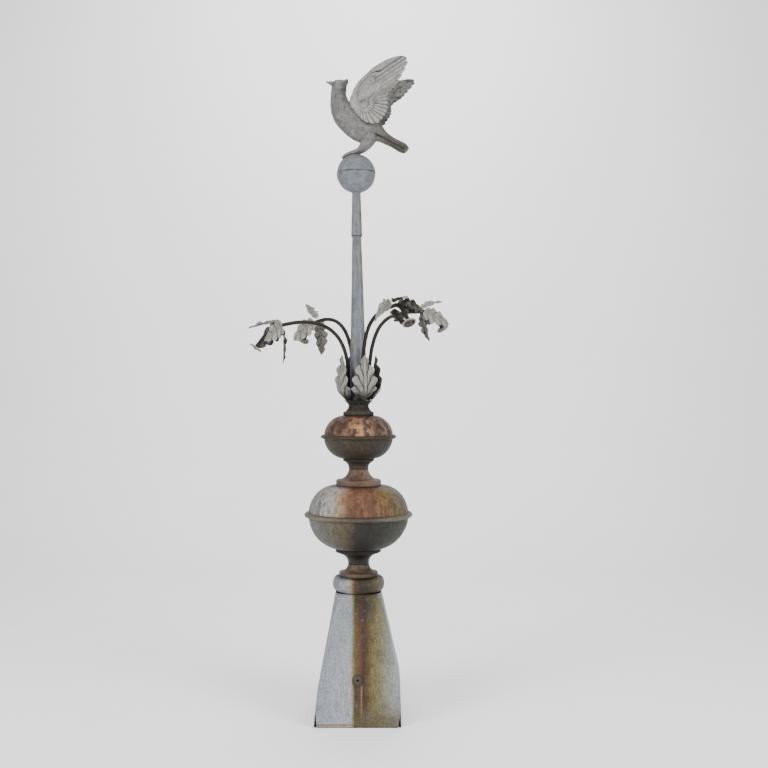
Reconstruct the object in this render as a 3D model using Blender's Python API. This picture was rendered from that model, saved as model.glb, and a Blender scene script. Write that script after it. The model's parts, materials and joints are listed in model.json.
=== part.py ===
"""Zinc roof finial with a bird, built up from the hollow skirt to the bird on its ball.

The origin is the centre of the skirt's bottom edge. +Z is up, the skirt's front faces -Y,
and the bird looks along -X. All sizes are in metres.
"""

import math
from dataclasses import dataclass

import bmesh
import bpy
from mathutils import Vector

MM = 0.001

# Clearance between touching pieces
FIT_GAP = 0.3 * MM

# Sides of the turned pieces
BULB_SIDES = 24
NECK_SIDES = 18
BALL_SIDES = 20
STEM_SIDES = 6
BIRD_SIDES = 12
BUTTON_SIDES = 8

# Skirt
SKIRT_HEIGHT = 322 * MM
SKIRT_FOOT_HALF = 109 * MM
SKIRT_FOOT_FLARE = 5.5 * MM
SKIRT_KNEE_HALF = SKIRT_FOOT_HALF - SKIRT_FOOT_FLARE
SKIRT_KNEE_HEIGHT = 94 * MM
SKIRT_KNEE_SHIFT = 3.5 * MM
SKIRT_TOP_HALF = 58.5 * MM
SKIRT_CORNER_RADIUS = 2.5 * MM
SKIRT_TOP_CORNER_RADIUS = 40 * MM
SKIRT_SHEET = 1.0 * MM
SLIT_HEIGHT = 38 * MM
SLIT_WIDTH = 3.8 * MM

# Nail washer on the skirt's front
WASHER_HEIGHT = 115 * MM
WASHER_RADIUS = 12.5 * MM
WASHER_THICKNESS = 1.2 * MM
NAIL_HOLE_RADIUS = 2.5 * MM

# Collar moulding
COLLAR_HEIGHT = 38 * MM
COLLAR_RADIUS = 67 * MM
COLLAR_LIP = 8 * MM
COLLAR_TOP_RADIUS = 52 * MM

# Lower neck
LOWER_FOOT_RADIUS = 50 * MM
LOWER_FOOT_HEIGHT = 11 * MM
LOWER_WAIST_RADIUS = 27 * MM
LOWER_FOOT_CURVE = 20 * MM
LOWER_HEAD_CURVE = 24.5 * MM
LOWER_HEAD_NECK_RADIUS = 42 * MM
LOWER_HEAD_RADIUS = 58.8 * MM
LOWER_HEAD_BEVEL = 6.5 * MM
LOWER_HEAD_HEIGHT = 9 * MM

# Large bulb
LARGE_RADIUS = 129.5 * MM
LARGE_LOWER_HEIGHT = 86.5 * MM
LARGE_UPPER_HEIGHT = 75 * MM
LARGE_SEAT_LEDGE = 0.7 * MM
LARGE_TOP_LEDGE = 4 * MM
LARGE_BEAD_HEIGHT = 13.4 * MM
LARGE_BEAD_REACH = 10.2 * MM
LARGE_LOWER_FULLNESS = 0.6
LARGE_UPPER_FULLNESS = 0.5

# Upper neck
UPPER_FOOT_RADIUS = 58 * MM
UPPER_FOOT_HEIGHT = 15 * MM
UPPER_WAIST_RADIUS = 25.3 * MM
UPPER_FOOT_CURVE = 27 * MM
UPPER_HEAD_CURVE = 19.5 * MM
UPPER_HEAD_NECK_RADIUS = 37 * MM
UPPER_HEAD_RADIUS = 40 * MM
UPPER_HEAD_BEVEL = 1.5 * MM
UPPER_HEAD_HEIGHT = 6 * MM

# Small bulb
SMALL_RADIUS = 89.5 * MM
SMALL_LOWER_HEIGHT = 56 * MM
SMALL_UPPER_HEIGHT = 54 * MM
SMALL_SEAT_LEDGE = 0.5 * MM
SMALL_TOP_LEDGE = 1.5 * MM
SMALL_BEAD_HEIGHT = 10.4 * MM
SMALL_BEAD_REACH = 8.2 * MM
SMALL_LOWER_FULLNESS = 0.56
SMALL_UPPER_FULLNESS = 0.54

# Calyx cup and its leaves
CUP_FOOT_RADIUS = 39.7 * MM
CUP_FOOT_HEIGHT = 9.5 * MM
CUP_WAIST_RADIUS = 25.7 * MM
CUP_WAIST_HEIGHT = 26 * MM
CUP_HEIGHT = 39 * MM
CUP_RIM = 1.2 * MM
LEAF_HEIGHT = 115 * MM
LEAF_HALF_WIDTH = 35 * MM
LEAF_SPREAD = 21 * MM
LEAF_INWARD = 12 * MM
LEAF_TIP_CURL = 4 * MM
LEAF_WRAP_RADIUS = 80 * MM
LEAF_THICKNESS = 2.4 * MM
LEAF_AZIMUTHS = (-59, 20, 112, -152)

# Shaft and sleeve
SHAFT_LENGTH = 424 * MM
SHAFT_BASE_RADIUS = 23 * MM
SHAFT_TOP_RADIUS = 11.7 * MM
SLEEVE_LENGTH = 113 * MM
SLEEVE_BASE_RADIUS = 14.3 * MM
SLEEVE_TOP_RADIUS = 11.2 * MM
SHAFT_LEAN = math.radians(0.6)

# Ball
BALL_RADIUS = 50 * MM
BALL_SEAM_RISE = 1.5 * MM

# Bird, drawn in units that share out its height and scaled as one figure
BIRD_HEIGHT = 226 * MM
BIRD_DRAWING_UNITS = 226
BIRD_YAW = math.radians(-7)
WING_THICKNESS = 3.0 * MM
FOOT_THICKNESS = 10.0 * MM

# Sprays, with heights counted from the cup's top
STEM_RADIUS = 4.9 * MM
STEM_TIP_RADIUS = 5.4 * MM
STEM_UPRIGHT_HEIGHT = 86.5 * MM
STEM_UPRIGHT_STEP = 2 * MM
STEM_KNEE_STEP = 11 * MM
STEM_LEAD = 85 * MM
STEM_BOW = 0.45
STEM_ARCH_STEPS = 9
STEM_TAIL_STEPS = 4
SPRAY_LEAF_THICKNESS = 1.8 * MM
BUTTON_RADIUS = 18 * MM
BUTTON_DEPTH = 7.5 * MM


@dataclass
class SprayLeaf:
    """One leaf of a spray: its place round the stem, how it opens, and its size."""

    turn: float
    opening: float
    closing: float
    droop: float
    length: float
    half_width: float


@dataclass
class Spray:
    """One iron stem: its direction from the shaft, its height, and the leaves at its end."""

    azimuth: float
    swing: float
    hub_reach: float
    hub_height: float
    hub_slope: float
    knee: float
    bud_reach: float
    bud_drop: float
    leaves: tuple


SPRAYS = (
    Spray(-63, -9, 205 * MM, 190.5 * MM, -16, 196.5 * MM, 62 * MM, 54 * MM, (
        SprayLeaf(12, 16, 4, 0.06, 84 * MM, 20 * MM),
        SprayLeaf(262, 52, 26, 0.42, 76 * MM, 28 * MM),
        SprayLeaf(98, 48, 22, 0.25, 66 * MM, 23 * MM),
        SprayLeaf(182, 80, 66, 0.18, 76 * MM, 22 * MM),
    )),
    Spray(22, 6, 205 * MM, 232.5 * MM, 8, 212.5 * MM, 60 * MM, 42 * MM, (
        SprayLeaf(350, 16, 0, 0.10, 64 * MM, 20 * MM),
        SprayLeaf(276, 84, 62, 0.80, 62 * MM, 20 * MM),
        SprayLeaf(84, 42, 14, 0.34, 70 * MM, 21 * MM),
        SprayLeaf(178, 56, 30, 0.05, 60 * MM, 20 * MM),
    )),
    Spray(112, 6, 186 * MM, 235.5 * MM, 4, 230.5 * MM, 66 * MM, 40 * MM, (
        SprayLeaf(346, 36, 10, 0.08, 66 * MM, 21 * MM),
        SprayLeaf(98, 44, 22, 0.22, 82 * MM, 26 * MM),
        SprayLeaf(252, 50, 24, 0.28, 70 * MM, 22 * MM),
        SprayLeaf(176, 74, 58, 0.12, 68 * MM, 20 * MM),
    )),
    Spray(-149, 5, 205 * MM, 214.5 * MM, -10, 200.5 * MM, 64 * MM, 46 * MM, (
        SprayLeaf(14, 60, 66, 0.00, 56 * MM, 16 * MM),
        SprayLeaf(112, 54, 30, 0.34, 68 * MM, 24 * MM),
        SprayLeaf(250, 50, 26, 0.30, 70 * MM, 23 * MM),
        SprayLeaf(190, 84, 68, 0.10, 78 * MM, 24 * MM),
    )),
)

# Heights of the stack, each piece on the one below
COLLAR_BASE = SKIRT_HEIGHT + FIT_GAP
LOWER_NECK_BASE = COLLAR_BASE + COLLAR_HEIGHT + FIT_GAP
LOWER_SEAM = LOWER_NECK_BASE + LOWER_FOOT_HEIGHT + LOWER_FOOT_CURVE
LOWER_NECK_TOP = LOWER_SEAM + FIT_GAP + LOWER_HEAD_CURVE + LOWER_HEAD_BEVEL + LOWER_HEAD_HEIGHT
LARGE_BASE = LOWER_NECK_TOP + FIT_GAP
LARGE_SEAM = LARGE_BASE + LARGE_LOWER_HEIGHT
LARGE_TOP = LARGE_SEAM + FIT_GAP + LARGE_UPPER_HEIGHT
UPPER_NECK_BASE = LARGE_TOP + FIT_GAP
UPPER_SEAM = UPPER_NECK_BASE + UPPER_FOOT_HEIGHT + UPPER_FOOT_CURVE
UPPER_NECK_TOP = UPPER_SEAM + FIT_GAP + UPPER_HEAD_CURVE + UPPER_HEAD_BEVEL + UPPER_HEAD_HEIGHT
SMALL_BASE = UPPER_NECK_TOP + FIT_GAP
SMALL_SEAM = SMALL_BASE + SMALL_LOWER_HEIGHT
SMALL_TOP = SMALL_SEAM + FIT_GAP + SMALL_UPPER_HEIGHT
CUP_BASE = SMALL_TOP + FIT_GAP
CUP_TOP = CUP_BASE + CUP_HEIGHT
STEM_BASE_REACH = SHAFT_BASE_RADIUS + 2 * FIT_GAP + STEM_RADIUS
LEAF_BASE_REACH = STEM_BASE_REACH + STEM_RADIUS + 2 * FIT_GAP + LEAF_THICKNESS / 2
CUP_TOP_RADIUS = LEAF_BASE_REACH + LEAF_THICKNESS / 2 + CUP_RIM
SHAFT_BASE = CUP_TOP + FIT_GAP + SHAFT_BASE_RADIUS * math.sin(SHAFT_LEAN)
SLEEVE_START = SHAFT_LENGTH + FIT_GAP
SLEEVE_END = SLEEVE_START + SLEEVE_LENGTH
BALL_CENTRE = SLEEVE_END + FIT_GAP + math.sqrt(BALL_RADIUS**2 - SLEEVE_TOP_RADIUS**2)
STEM_HUB_INDEX = STEM_ARCH_STEPS + 1


def clear_scene():
    """Remove whatever the scene holds."""
    for obj in list(bpy.data.objects):
        bpy.data.objects.remove(obj, do_unlink=True)


def make_material(name, colour, roughness, metallic):
    """A plain surface with the metal's colour, roughness and metallic value."""
    material = bpy.data.materials.new(name)
    material.use_nodes = True
    shader = material.node_tree.nodes["Principled BSDF"]
    shader.inputs["Base Color"].default_value = (*colour, 1.0)
    shader.inputs["Roughness"].default_value = roughness
    shader.inputs["Metallic"].default_value = metallic
    material.diffuse_color = (*colour, 1.0)
    return material


def add_object(name, bm, material, sharp_degrees=35):
    """Put a bmesh into the scene as one smooth-shaded object with outward faces."""
    bmesh.ops.remove_doubles(bm, verts=bm.verts, dist=1e-6)
    bmesh.ops.recalc_face_normals(bm, faces=bm.faces)
    mesh = bpy.data.meshes.new(name)
    bm.to_mesh(mesh)
    bm.free()
    mesh.materials.append(material)
    mesh.shade_smooth()
    mesh.set_sharp_from_angle(angle=math.radians(sharp_degrees))
    obj = bpy.data.objects.new(name, mesh)
    bpy.context.scene.collection.objects.link(obj)
    return obj


def make_helper(obj):
    """Keep a cutting or joining shape out of the finished object."""
    obj.hide_render = True
    obj.display_type = "WIRE"
    return obj


def combine(obj, other, operation):
    """Cut another shape out of an object, or join it on."""
    modifier = obj.modifiers.new(other.name, "BOOLEAN")
    modifier.operation = operation
    modifier.solver = "EXACT"
    modifier.object = make_helper(other)


def loft(rings):
    """Skin a row of equal rings of points and close both ends."""
    bm = bmesh.new()
    loops = [[bm.verts.new(point) for point in ring] for ring in rings]
    for lower, upper in zip(loops, loops[1:]):
        for i, corner in enumerate(lower):
            j = (i + 1) % len(lower)
            bm.faces.new((corner, lower[j], upper[j], upper[i]))
    bm.faces.new(loops[0][::-1])
    bm.faces.new(loops[-1])
    return bm


def grid_sheet(points):
    """An open sheet of quads over a grid of points."""
    bm = bmesh.new()
    rows = [[bm.verts.new(point) for point in row] for row in points]
    for lower, upper in zip(rows, rows[1:]):
        for i in range(len(lower) - 1):
            bm.faces.new((lower[i], lower[i + 1], upper[i + 1], upper[i]))
    return bm


def thicken(obj, thickness):
    """Give an open sheet its thickness, half to each side."""
    modifier = obj.modifiers.new("thickness", "SOLIDIFY")
    modifier.thickness = thickness
    modifier.offset = 0.0
    return obj


def turned(profile, sides):
    """Spin a profile of radius and height about Z; ends on the axis close the shape."""
    bm = bmesh.new()
    verts = [bm.verts.new((radius, 0.0, height)) for radius, height in profile]
    edges = [bm.edges.new(pair) for pair in zip(verts, verts[1:])]
    bmesh.ops.spin(bm, geom=verts + edges, cent=(0, 0, 0), axis=(0, 0, 1),
                   angle=2 * math.pi, steps=sides, use_merge=True)
    return bm


def circle(centre, across, up, radius, sides):
    """Points of a circle spanned by two unit vectors."""
    angles = [2 * math.pi * step / sides for step in range(sides)]
    return [Vector(centre) + radius * (math.cos(a) * Vector(across) + math.sin(a) * Vector(up))
            for a in angles]


def skirt_half_width(height):
    """Half the skirt's width: a steep foot, then straight panels up to the collar."""
    if height < SKIRT_KNEE_HEIGHT:
        share = height / SKIRT_KNEE_HEIGHT
        return SKIRT_FOOT_HALF + (SKIRT_KNEE_HALF - SKIRT_FOOT_HALF) * share
    share = (height - SKIRT_KNEE_HEIGHT) / (SKIRT_HEIGHT - SKIRT_KNEE_HEIGHT)
    return SKIRT_KNEE_HALF + (SKIRT_TOP_HALF - SKIRT_KNEE_HALF) * share


def skirt_shift(height):
    """Sideways shift of the skirt's rings: most at the knee, none at the foot and the collar."""
    below = height / SKIRT_KNEE_HEIGHT
    above = (SKIRT_HEIGHT - height) / (SKIRT_HEIGHT - SKIRT_KNEE_HEIGHT)
    return SKIRT_KNEE_SHIFT * min(below, above)


def skirt_corner(height):
    """Corner radius of the skirt: crisp below, dressed round towards the collar."""
    share = max(0.0, (height - SKIRT_KNEE_HEIGHT) / (SKIRT_HEIGHT - SKIRT_KNEE_HEIGHT))
    return SKIRT_CORNER_RADIUS + (SKIRT_TOP_CORNER_RADIUS - SKIRT_CORNER_RADIUS) * share**5


def rounded_square(half, radius, height, shift, arc_steps=3):
    """Ring of points round a square with rounded corners, shifted along X."""
    points = []
    for quarter in range(4):
        middle = math.radians(45 + 90 * quarter)
        centre_x = shift + math.copysign(half - radius, math.cos(middle))
        centre_y = math.copysign(half - radius, math.sin(middle))
        for step in range(arc_steps + 1):
            angle = math.radians(90 * quarter + 90 * step / arc_steps)
            points.append((centre_x + radius * math.cos(angle),
                           centre_y + radius * math.sin(angle), height))
    return points


def build_skirt(material):
    """Sheet skirt, open below and above, with two gaping corners and a nail hole."""
    panel_rows = 5
    panel_height = SKIRT_HEIGHT - SKIRT_KNEE_HEIGHT
    levels = [0.0, SKIRT_KNEE_HEIGHT]
    levels += [SKIRT_KNEE_HEIGHT + panel_height * (row / panel_rows)**0.8 for row in range(1, panel_rows + 1)]
    bm = bmesh.new()
    shells = []
    for inset in (0.0, SKIRT_SHEET):
        shell = []
        for level in levels:
            half = skirt_half_width(level) - inset
            radius = skirt_corner(level) - inset
            ring = rounded_square(half, radius, level, skirt_shift(level))
            shell.append([bm.verts.new(point) for point in ring])
        shells.append(shell)
    outer, inner = shells
    rings = outer + inner[::-1]
    for lower, upper in zip(rings, rings[1:] + rings[:1]):
        for i, corner in enumerate(lower):
            j = (i + 1) % len(lower)
            bm.faces.new((corner, lower[j], upper[j], upper[i]))
    skirt = add_object("skirt", bm, material)
    for side in (-1, 1):
        combine(skirt, slit_cutter(side, material), "DIFFERENCE")
    combine(skirt, nail_hole_cutter(material), "DIFFERENCE")
    return skirt


def slit_cutter(side, material):
    """Thin upright wedge that opens one front corner of the skirt."""
    outer = SKIRT_FOOT_HALF - 1.2 * SKIRT_SHEET
    below = 2 * MM
    depth = SKIRT_CORNER_RADIUS + 4 * SKIRT_SHEET
    lean = (SKIRT_FOOT_HALF - SKIRT_KNEE_HALF) / SKIRT_KNEE_HEIGHT * SLIT_HEIGHT
    tip = outer - lean - 0.25 * SLIT_WIDTH
    front = -SKIRT_FOOT_HALF - 2 * MM
    rings = []
    for y in (front, -SKIRT_FOOT_HALF + depth):
        rings.append([(side * (outer - SLIT_WIDTH), y, -below), (side * outer, y, -below),
                      (side * tip + skirt_shift(SLIT_HEIGHT), y, SLIT_HEIGHT)])
    return add_object(f"slit_cutter_{side}", loft(rings), material)


def front_panel_frame():
    """Centre of the nail washer's seat on the front panel and the panel's outward normal."""
    slope = (SKIRT_KNEE_HALF - SKIRT_TOP_HALF) / (SKIRT_HEIGHT - SKIRT_KNEE_HEIGHT)
    normal = Vector((0.0, -1.0, slope)).normalized()
    height = SKIRT_KNEE_HEIGHT + max(WASHER_HEIGHT - SKIRT_KNEE_HEIGHT, WASHER_RADIUS)
    return Vector((0.0, -skirt_half_width(height), height)), normal


def nail_hole_cutter(material):
    """Pin-shaped cutter for the nail hole, square to the front panel."""
    seat, normal = front_panel_frame()
    across = Vector((1.0, 0.0, 0.0))
    up = normal.cross(across)
    reach = 4 * SKIRT_SHEET
    rings = [circle(seat + side * reach * normal, across, up, NAIL_HOLE_RADIUS, 10) for side in (-1, 1)]
    return add_object("nail_hole_cutter", loft(rings), material)


def build_nail_washer(material):
    """Flat ring soldered round the nail hole."""
    seat, normal = front_panel_frame()
    across = Vector((1.0, 0.0, 0.0))
    up = normal.cross(across)
    back = seat + FIT_GAP * normal
    front = back + WASHER_THICKNESS * normal
    sides = 12
    bm = bmesh.new()
    sections = ((back, WASHER_RADIUS), (front, WASHER_RADIUS),
                (front, NAIL_HOLE_RADIUS), (back, NAIL_HOLE_RADIUS))
    rings = [[bm.verts.new(p) for p in circle(centre, across, up, radius, sides)]
             for centre, radius in sections]
    for lower, upper in zip(rings, rings[1:] + rings[:1]):
        for i, corner in enumerate(lower):
            j = (i + 1) % sides
            bm.faces.new((corner, lower[j], upper[j], upper[i]))
    return add_object("nail_washer", bm, material)


def build_collar(material):
    """Fat half-round moulding that caps the skirt."""
    profile = [(0.0, COLLAR_BASE), (COLLAR_RADIUS - COLLAR_LIP, COLLAR_BASE)]
    steps = 6
    for step in range(1, steps):
        angle = math.pi * (step / steps - 0.5)
        bulge = COLLAR_RADIUS - COLLAR_LIP * 1.4 * (1 - math.cos(angle))
        height = COLLAR_BASE + COLLAR_HEIGHT * (0.5 + 0.5 * math.sin(angle))
        profile.append((bulge, height))
    profile += [(COLLAR_TOP_RADIUS, COLLAR_BASE + COLLAR_HEIGHT), (0.0, COLLAR_BASE + COLLAR_HEIGHT)]
    return add_object("skirt_collar", turned(profile, BULB_SIDES), material)


def neck_foot(base, foot_radius, foot_height, waist_radius, curve_height):
    """Profile of a trumpet that narrows from a flat foot to a waist."""
    shoulder = foot_radius - 3 * MM
    top = base + foot_height
    profile = [(0.0, base), (foot_radius, base), (foot_radius, top - 2 * MM), (shoulder, top)]
    for share in (0.06, 0.22, 0.55, 1.0):
        flare = (1 - math.sqrt(share))**1.5
        profile.append((waist_radius + (shoulder - waist_radius) * flare, top + curve_height * share))
    profile.append((0.0, top + curve_height))
    return profile


def neck_head(base, waist_radius, neck_radius, curve_height, bevel, head_radius, head_height):
    """Profile of a trumpet that widens from a waist to a round seat."""
    profile = [(0.0, base)]
    for share in (0.0, 0.42, 0.75, 1.0):
        profile.append((waist_radius + (neck_radius - waist_radius) * share**2.7,
                        base + curve_height * share))
    edge = base + curve_height + bevel
    profile += [(head_radius, edge), (head_radius, edge + head_height), (0.0, edge + head_height)]
    return profile


def bulb_half(seat_radius, equator_radius, seat_height, equator_height, fullness):
    """Profile of a spun bowl from its seat to its equator, as a full quarter curve."""
    profile = [(0.0, seat_height)]
    for step in range(7):
        share = (step / 6)**1.8
        radius = seat_radius + (equator_radius - seat_radius) * (1 - (1 - share)**2)**fullness
        profile.append((radius, seat_height + (equator_height - seat_height) * share))
    profile.append((0.0, equator_height))
    return profile


def bead_section(inner_radius, reach, seam_height, height):
    """Closed half-round section of a bead that hugs a bulb at its seam."""
    section = [(inner_radius, seam_height - height / 2)]
    for step in range(1, 4):
        angle = math.pi * (step / 4 - 0.5)
        section.append((inner_radius + reach * math.cos(angle), seam_height + height / 2 * math.sin(angle)))
    section.append((inner_radius, seam_height + height / 2))
    section.append(section[0])
    return section


def build_necks_and_bulbs(stained):
    """Spun necks, bulbs and beads between the collar and the calyx."""
    turned_pieces = (
        ("lower_neck_bottom", NECK_SIDES, stained, neck_foot(
            LOWER_NECK_BASE, LOWER_FOOT_RADIUS, LOWER_FOOT_HEIGHT, LOWER_WAIST_RADIUS, LOWER_FOOT_CURVE)),
        ("lower_neck_top", NECK_SIDES, stained, neck_head(
            LOWER_SEAM + FIT_GAP, LOWER_WAIST_RADIUS, LOWER_HEAD_NECK_RADIUS, LOWER_HEAD_CURVE,
            LOWER_HEAD_BEVEL, LOWER_HEAD_RADIUS, LOWER_HEAD_HEIGHT)),
        ("large_bulb_lower", BULB_SIDES, stained, bulb_half(
            LOWER_HEAD_RADIUS + LARGE_SEAT_LEDGE, LARGE_RADIUS, LARGE_BASE, LARGE_SEAM,
            LARGE_LOWER_FULLNESS)),
        ("large_bulb_upper", BULB_SIDES, stained, bulb_half(
            UPPER_FOOT_RADIUS + LARGE_TOP_LEDGE, LARGE_RADIUS, LARGE_TOP, LARGE_SEAM + FIT_GAP,
            LARGE_UPPER_FULLNESS)),
        ("large_bulb_bead", BULB_SIDES, stained, bead_section(
            LARGE_RADIUS + FIT_GAP, LARGE_BEAD_REACH, LARGE_SEAM, LARGE_BEAD_HEIGHT)),
        ("upper_neck_bottom", NECK_SIDES, stained, neck_foot(
            UPPER_NECK_BASE, UPPER_FOOT_RADIUS, UPPER_FOOT_HEIGHT, UPPER_WAIST_RADIUS, UPPER_FOOT_CURVE)),
        ("upper_neck_top", NECK_SIDES, stained, neck_head(
            UPPER_SEAM + FIT_GAP, UPPER_WAIST_RADIUS, UPPER_HEAD_NECK_RADIUS, UPPER_HEAD_CURVE,
            UPPER_HEAD_BEVEL, UPPER_HEAD_RADIUS, UPPER_HEAD_HEIGHT)),
        ("small_bulb_lower", BULB_SIDES, stained, bulb_half(
            UPPER_HEAD_RADIUS + SMALL_SEAT_LEDGE, SMALL_RADIUS, SMALL_BASE, SMALL_SEAM,
            SMALL_LOWER_FULLNESS)),
        ("small_bulb_upper", BULB_SIDES, stained, bulb_half(
            CUP_FOOT_RADIUS + SMALL_TOP_LEDGE, SMALL_RADIUS, SMALL_TOP, SMALL_SEAM + FIT_GAP,
            SMALL_UPPER_FULLNESS)),
        ("small_bulb_bead", BULB_SIDES, stained, bead_section(
            SMALL_RADIUS + FIT_GAP, SMALL_BEAD_REACH, SMALL_SEAM, SMALL_BEAD_HEIGHT)),
    )
    for name, sides, material, profile in turned_pieces:
        add_object(name, turned(profile, sides), material)


def build_calyx(dark, zinc):
    """Waisted cup and the four upright leaves that stand on its rim."""
    foot_top = CUP_BASE + CUP_FOOT_HEIGHT
    waist = CUP_BASE + CUP_WAIST_HEIGHT
    profile = [(0.0, CUP_BASE), (CUP_FOOT_RADIUS, CUP_BASE), (CUP_FOOT_RADIUS, foot_top)]
    for share in (0.1, 0.4, 1.0):
        flare = (1 - share)**2
        profile.append((CUP_WAIST_RADIUS + (CUP_FOOT_RADIUS - 4 * MM - CUP_WAIST_RADIUS) * flare,
                        foot_top + (waist - foot_top) * share))
    for share in (0.35, 0.7, 1.0):
        profile.append((CUP_WAIST_RADIUS + (CUP_TOP_RADIUS - CUP_WAIST_RADIUS) * share**1.5,
                        waist + (CUP_TOP - waist) * share))
    profile.append((0.0, CUP_TOP))
    add_object("calyx_cup", turned(profile, NECK_SIDES), dark)
    for number, azimuth in enumerate(LEAF_AZIMUTHS, 1):
        sheet = grid_sheet(acanthus_points(azimuth, 15, 5))
        leaf = add_object(f"acanthus_leaf_{number}", sheet, zinc)
        thicken(leaf, LEAF_THICKNESS)


def acanthus_half_width(share):
    """Half-width up the leaf: three pairs of rounded lobes and a top lobe."""
    envelope = LEAF_HALF_WIDTH * (1 - share**2.85)
    phase = (share + 0.21) / 0.285
    notch = (1 - math.cos(math.pi * phase)**2) * (0.16 + 0.24 * share**2)
    base = min(1.0, 0.6 + share / 0.3)
    return max(0.9 * MM, envelope * (1 - notch) * base)


def acanthus_reach(share):
    """Distance of the midrib from the axis: flaring, upright, then curled out at the tip."""
    flare = LEAF_SPREAD * math.sin(0.5 * math.pi * min(1.0, share / 0.24))
    curl = LEAF_TIP_CURL * max(0.0, (share - 0.8) / 0.2)
    return LEAF_BASE_REACH + flare - LEAF_INWARD * share**2 + curl


def acanthus_points(azimuth, rows, columns):
    """Grid of an upright leaf whose rows rise towards the edge and wrap round the shaft."""
    angle = math.radians(azimuth)
    outward = Vector((math.sin(angle), -math.cos(angle), 0.0))
    sideways = Vector((math.cos(angle), math.sin(angle), 0.0))
    base = CUP_TOP + FIT_GAP + LEAF_THICKNESS / 2
    grid = []
    for row in range(rows):
        share = row / (rows - 1)
        half = acanthus_half_width(share)
        line = []
        for column in range(columns):
            across = 2 * column / (columns - 1) - 1
            offset = across * half
            rise = 0.55 * abs(offset) * (1 - share)
            reach = acanthus_reach(share) - offset**2 / (2 * LEAF_WRAP_RADIUS)
            line.append(outward * reach + sideways * offset + Vector((0, 0, base + LEAF_HEIGHT * share + rise)))
        grid.append(line)
    return grid


def build_shaft(zinc):
    """Tapered pole, its sleeve and the ball, all on one slightly leaning axis."""
    axis = bpy.data.objects.new("shaft_axis", None)
    bpy.context.scene.collection.objects.link(axis)
    axis.location = (0.0, 0.0, SHAFT_BASE)
    axis.rotation_euler = (0.0, -SHAFT_LEAN, 0.0)
    shaft = [(0.0, 0.0), (SHAFT_BASE_RADIUS, 0.0), (SHAFT_TOP_RADIUS, SHAFT_LENGTH), (0.0, SHAFT_LENGTH)]
    sleeve = [(0.0, SLEEVE_START), (SLEEVE_BASE_RADIUS, SLEEVE_START),
              (SLEEVE_TOP_RADIUS, SLEEVE_END), (0.0, SLEEVE_END)]
    pieces = {"shaft_lower": shaft, "shaft_sleeve": sleeve}
    flat = math.asin(SLEEVE_TOP_RADIUS / BALL_RADIUS)
    seam = math.asin(BALL_SEAM_RISE / BALL_RADIUS)
    pieces["ball_lower"] = ball_profile(flat - math.pi / 2, seam, 0.0)
    pieces["ball_upper"] = ball_profile(seam, math.pi / 2 - 0.06, FIT_GAP)
    for name, profile in pieces.items():
        piece = add_object(name, turned(profile, BALL_SIDES), zinc)
        piece.parent = axis
    return axis


def ball_profile(low_angle, high_angle, lift):
    """Slice of a ball between two latitudes, closed flat at both."""
    steps = 6
    profile = []
    for step in range(steps + 1):
        angle = low_angle + (high_angle - low_angle) * step / steps
        profile.append((BALL_RADIUS * math.cos(angle), BALL_CENTRE + lift + BALL_RADIUS * math.sin(angle)))
    return [(0.0, profile[0][1])] + profile + [(0.0, profile[-1][1])]


@dataclass
class BirdRing:
    """A section of the bird from its belly to its back, in drawing millimetres above the ball."""

    belly: tuple
    back: tuple
    half_width: float


BIRD_RINGS = (
    BirdRing((-55, 193), (-29, 193.5), 8),
    BirdRing((-61, 187), (-22, 188), 13),
    BirdRing((-62.5, 171), (-24, 169), 15.5),
    BirdRing((-64, 155), (-24, 154), 15.5),
    BirdRing((-65, 137), (-18, 140), 19),
    BirdRing((-63, 112), (-4, 130), 24),
    BirdRing((-54, 86), (14, 122), 27.5),
    BirdRing((-34, 61), (32, 111), 28),
    BirdRing((-11, 41), (47, 99), 26),
    BirdRing((18, 29), (60, 87), 21),
    BirdRing((50, 32), (77, 60), 15),
    BirdRing((79, 22), (98, 41), 13),
    BirdRing((110, 3), (128, 24), 17),
    BirdRing((124, -2), (138, 12), 15),
)
BIRD_SCALE = BIRD_HEIGHT / BIRD_DRAWING_UNITS
BIRD_HALF_BREADTH = max(ring.half_width for ring in BIRD_RINGS) * BIRD_SCALE

# Wing outline: reach of the feathers, in drawing millimetres, at each angle from the wing's root
WING_OUTLINE = (
    (-160, 27.5), (-121, 29), (-91, 43.5), (-73, 62), (-57, 75), (-43, 76.5), (-18, 75), (0, 70), (9, 69),
    (17, 80), (23, 99), (32, 125), (38, 149), (43, 153.5), (49, 143), (57, 121.5), (65, 99), (79, 70),
    (93, 54), (112, 40), (140, 30),
)
WING_ROOT = (15.0, 132.0)
WING_HINGE = 92.0
WING_BEND = 30.0
WING_SPREAD = 0.59
WING_RISE = 0.85
WING_SWEEP = 0.11


def wing_reach(angle):
    """Reach of the wing's edge at an angle in degrees, on a smooth curve through the outline."""
    first = WING_OUTLINE[0][0]
    angle = (angle - first) % 360 + first
    angles = [a for a, _ in WING_OUTLINE] + [first + 360]
    count = len(WING_OUTLINE)
    index = max(i for i in range(count) if angles[i] <= angle)
    share = (angle - angles[index]) / (angles[index + 1] - angles[index])
    before, start, end, after = (WING_OUTLINE[(index + step) % count][1] for step in (-1, 0, 1, 2))
    slope = (end - before) * share + (2 * before - 5 * start + 4 * end - after) * share**2
    return start + 0.5 * (slope + (3 * start - before - 3 * end + after) * share**3)


def wing_angles():
    """Angles of the wing's spokes: each point of the outline, and one more in each wide gap."""
    angles = []
    for (angle, _), (following, _) in zip(WING_OUTLINE, WING_OUTLINE[1:] + WING_OUTLINE[:1]):
        gap = (following - angle) % 360
        angles.append(angle)
        if gap >= 18:
            angles.append(angle + gap / 2)
    return angles


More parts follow.
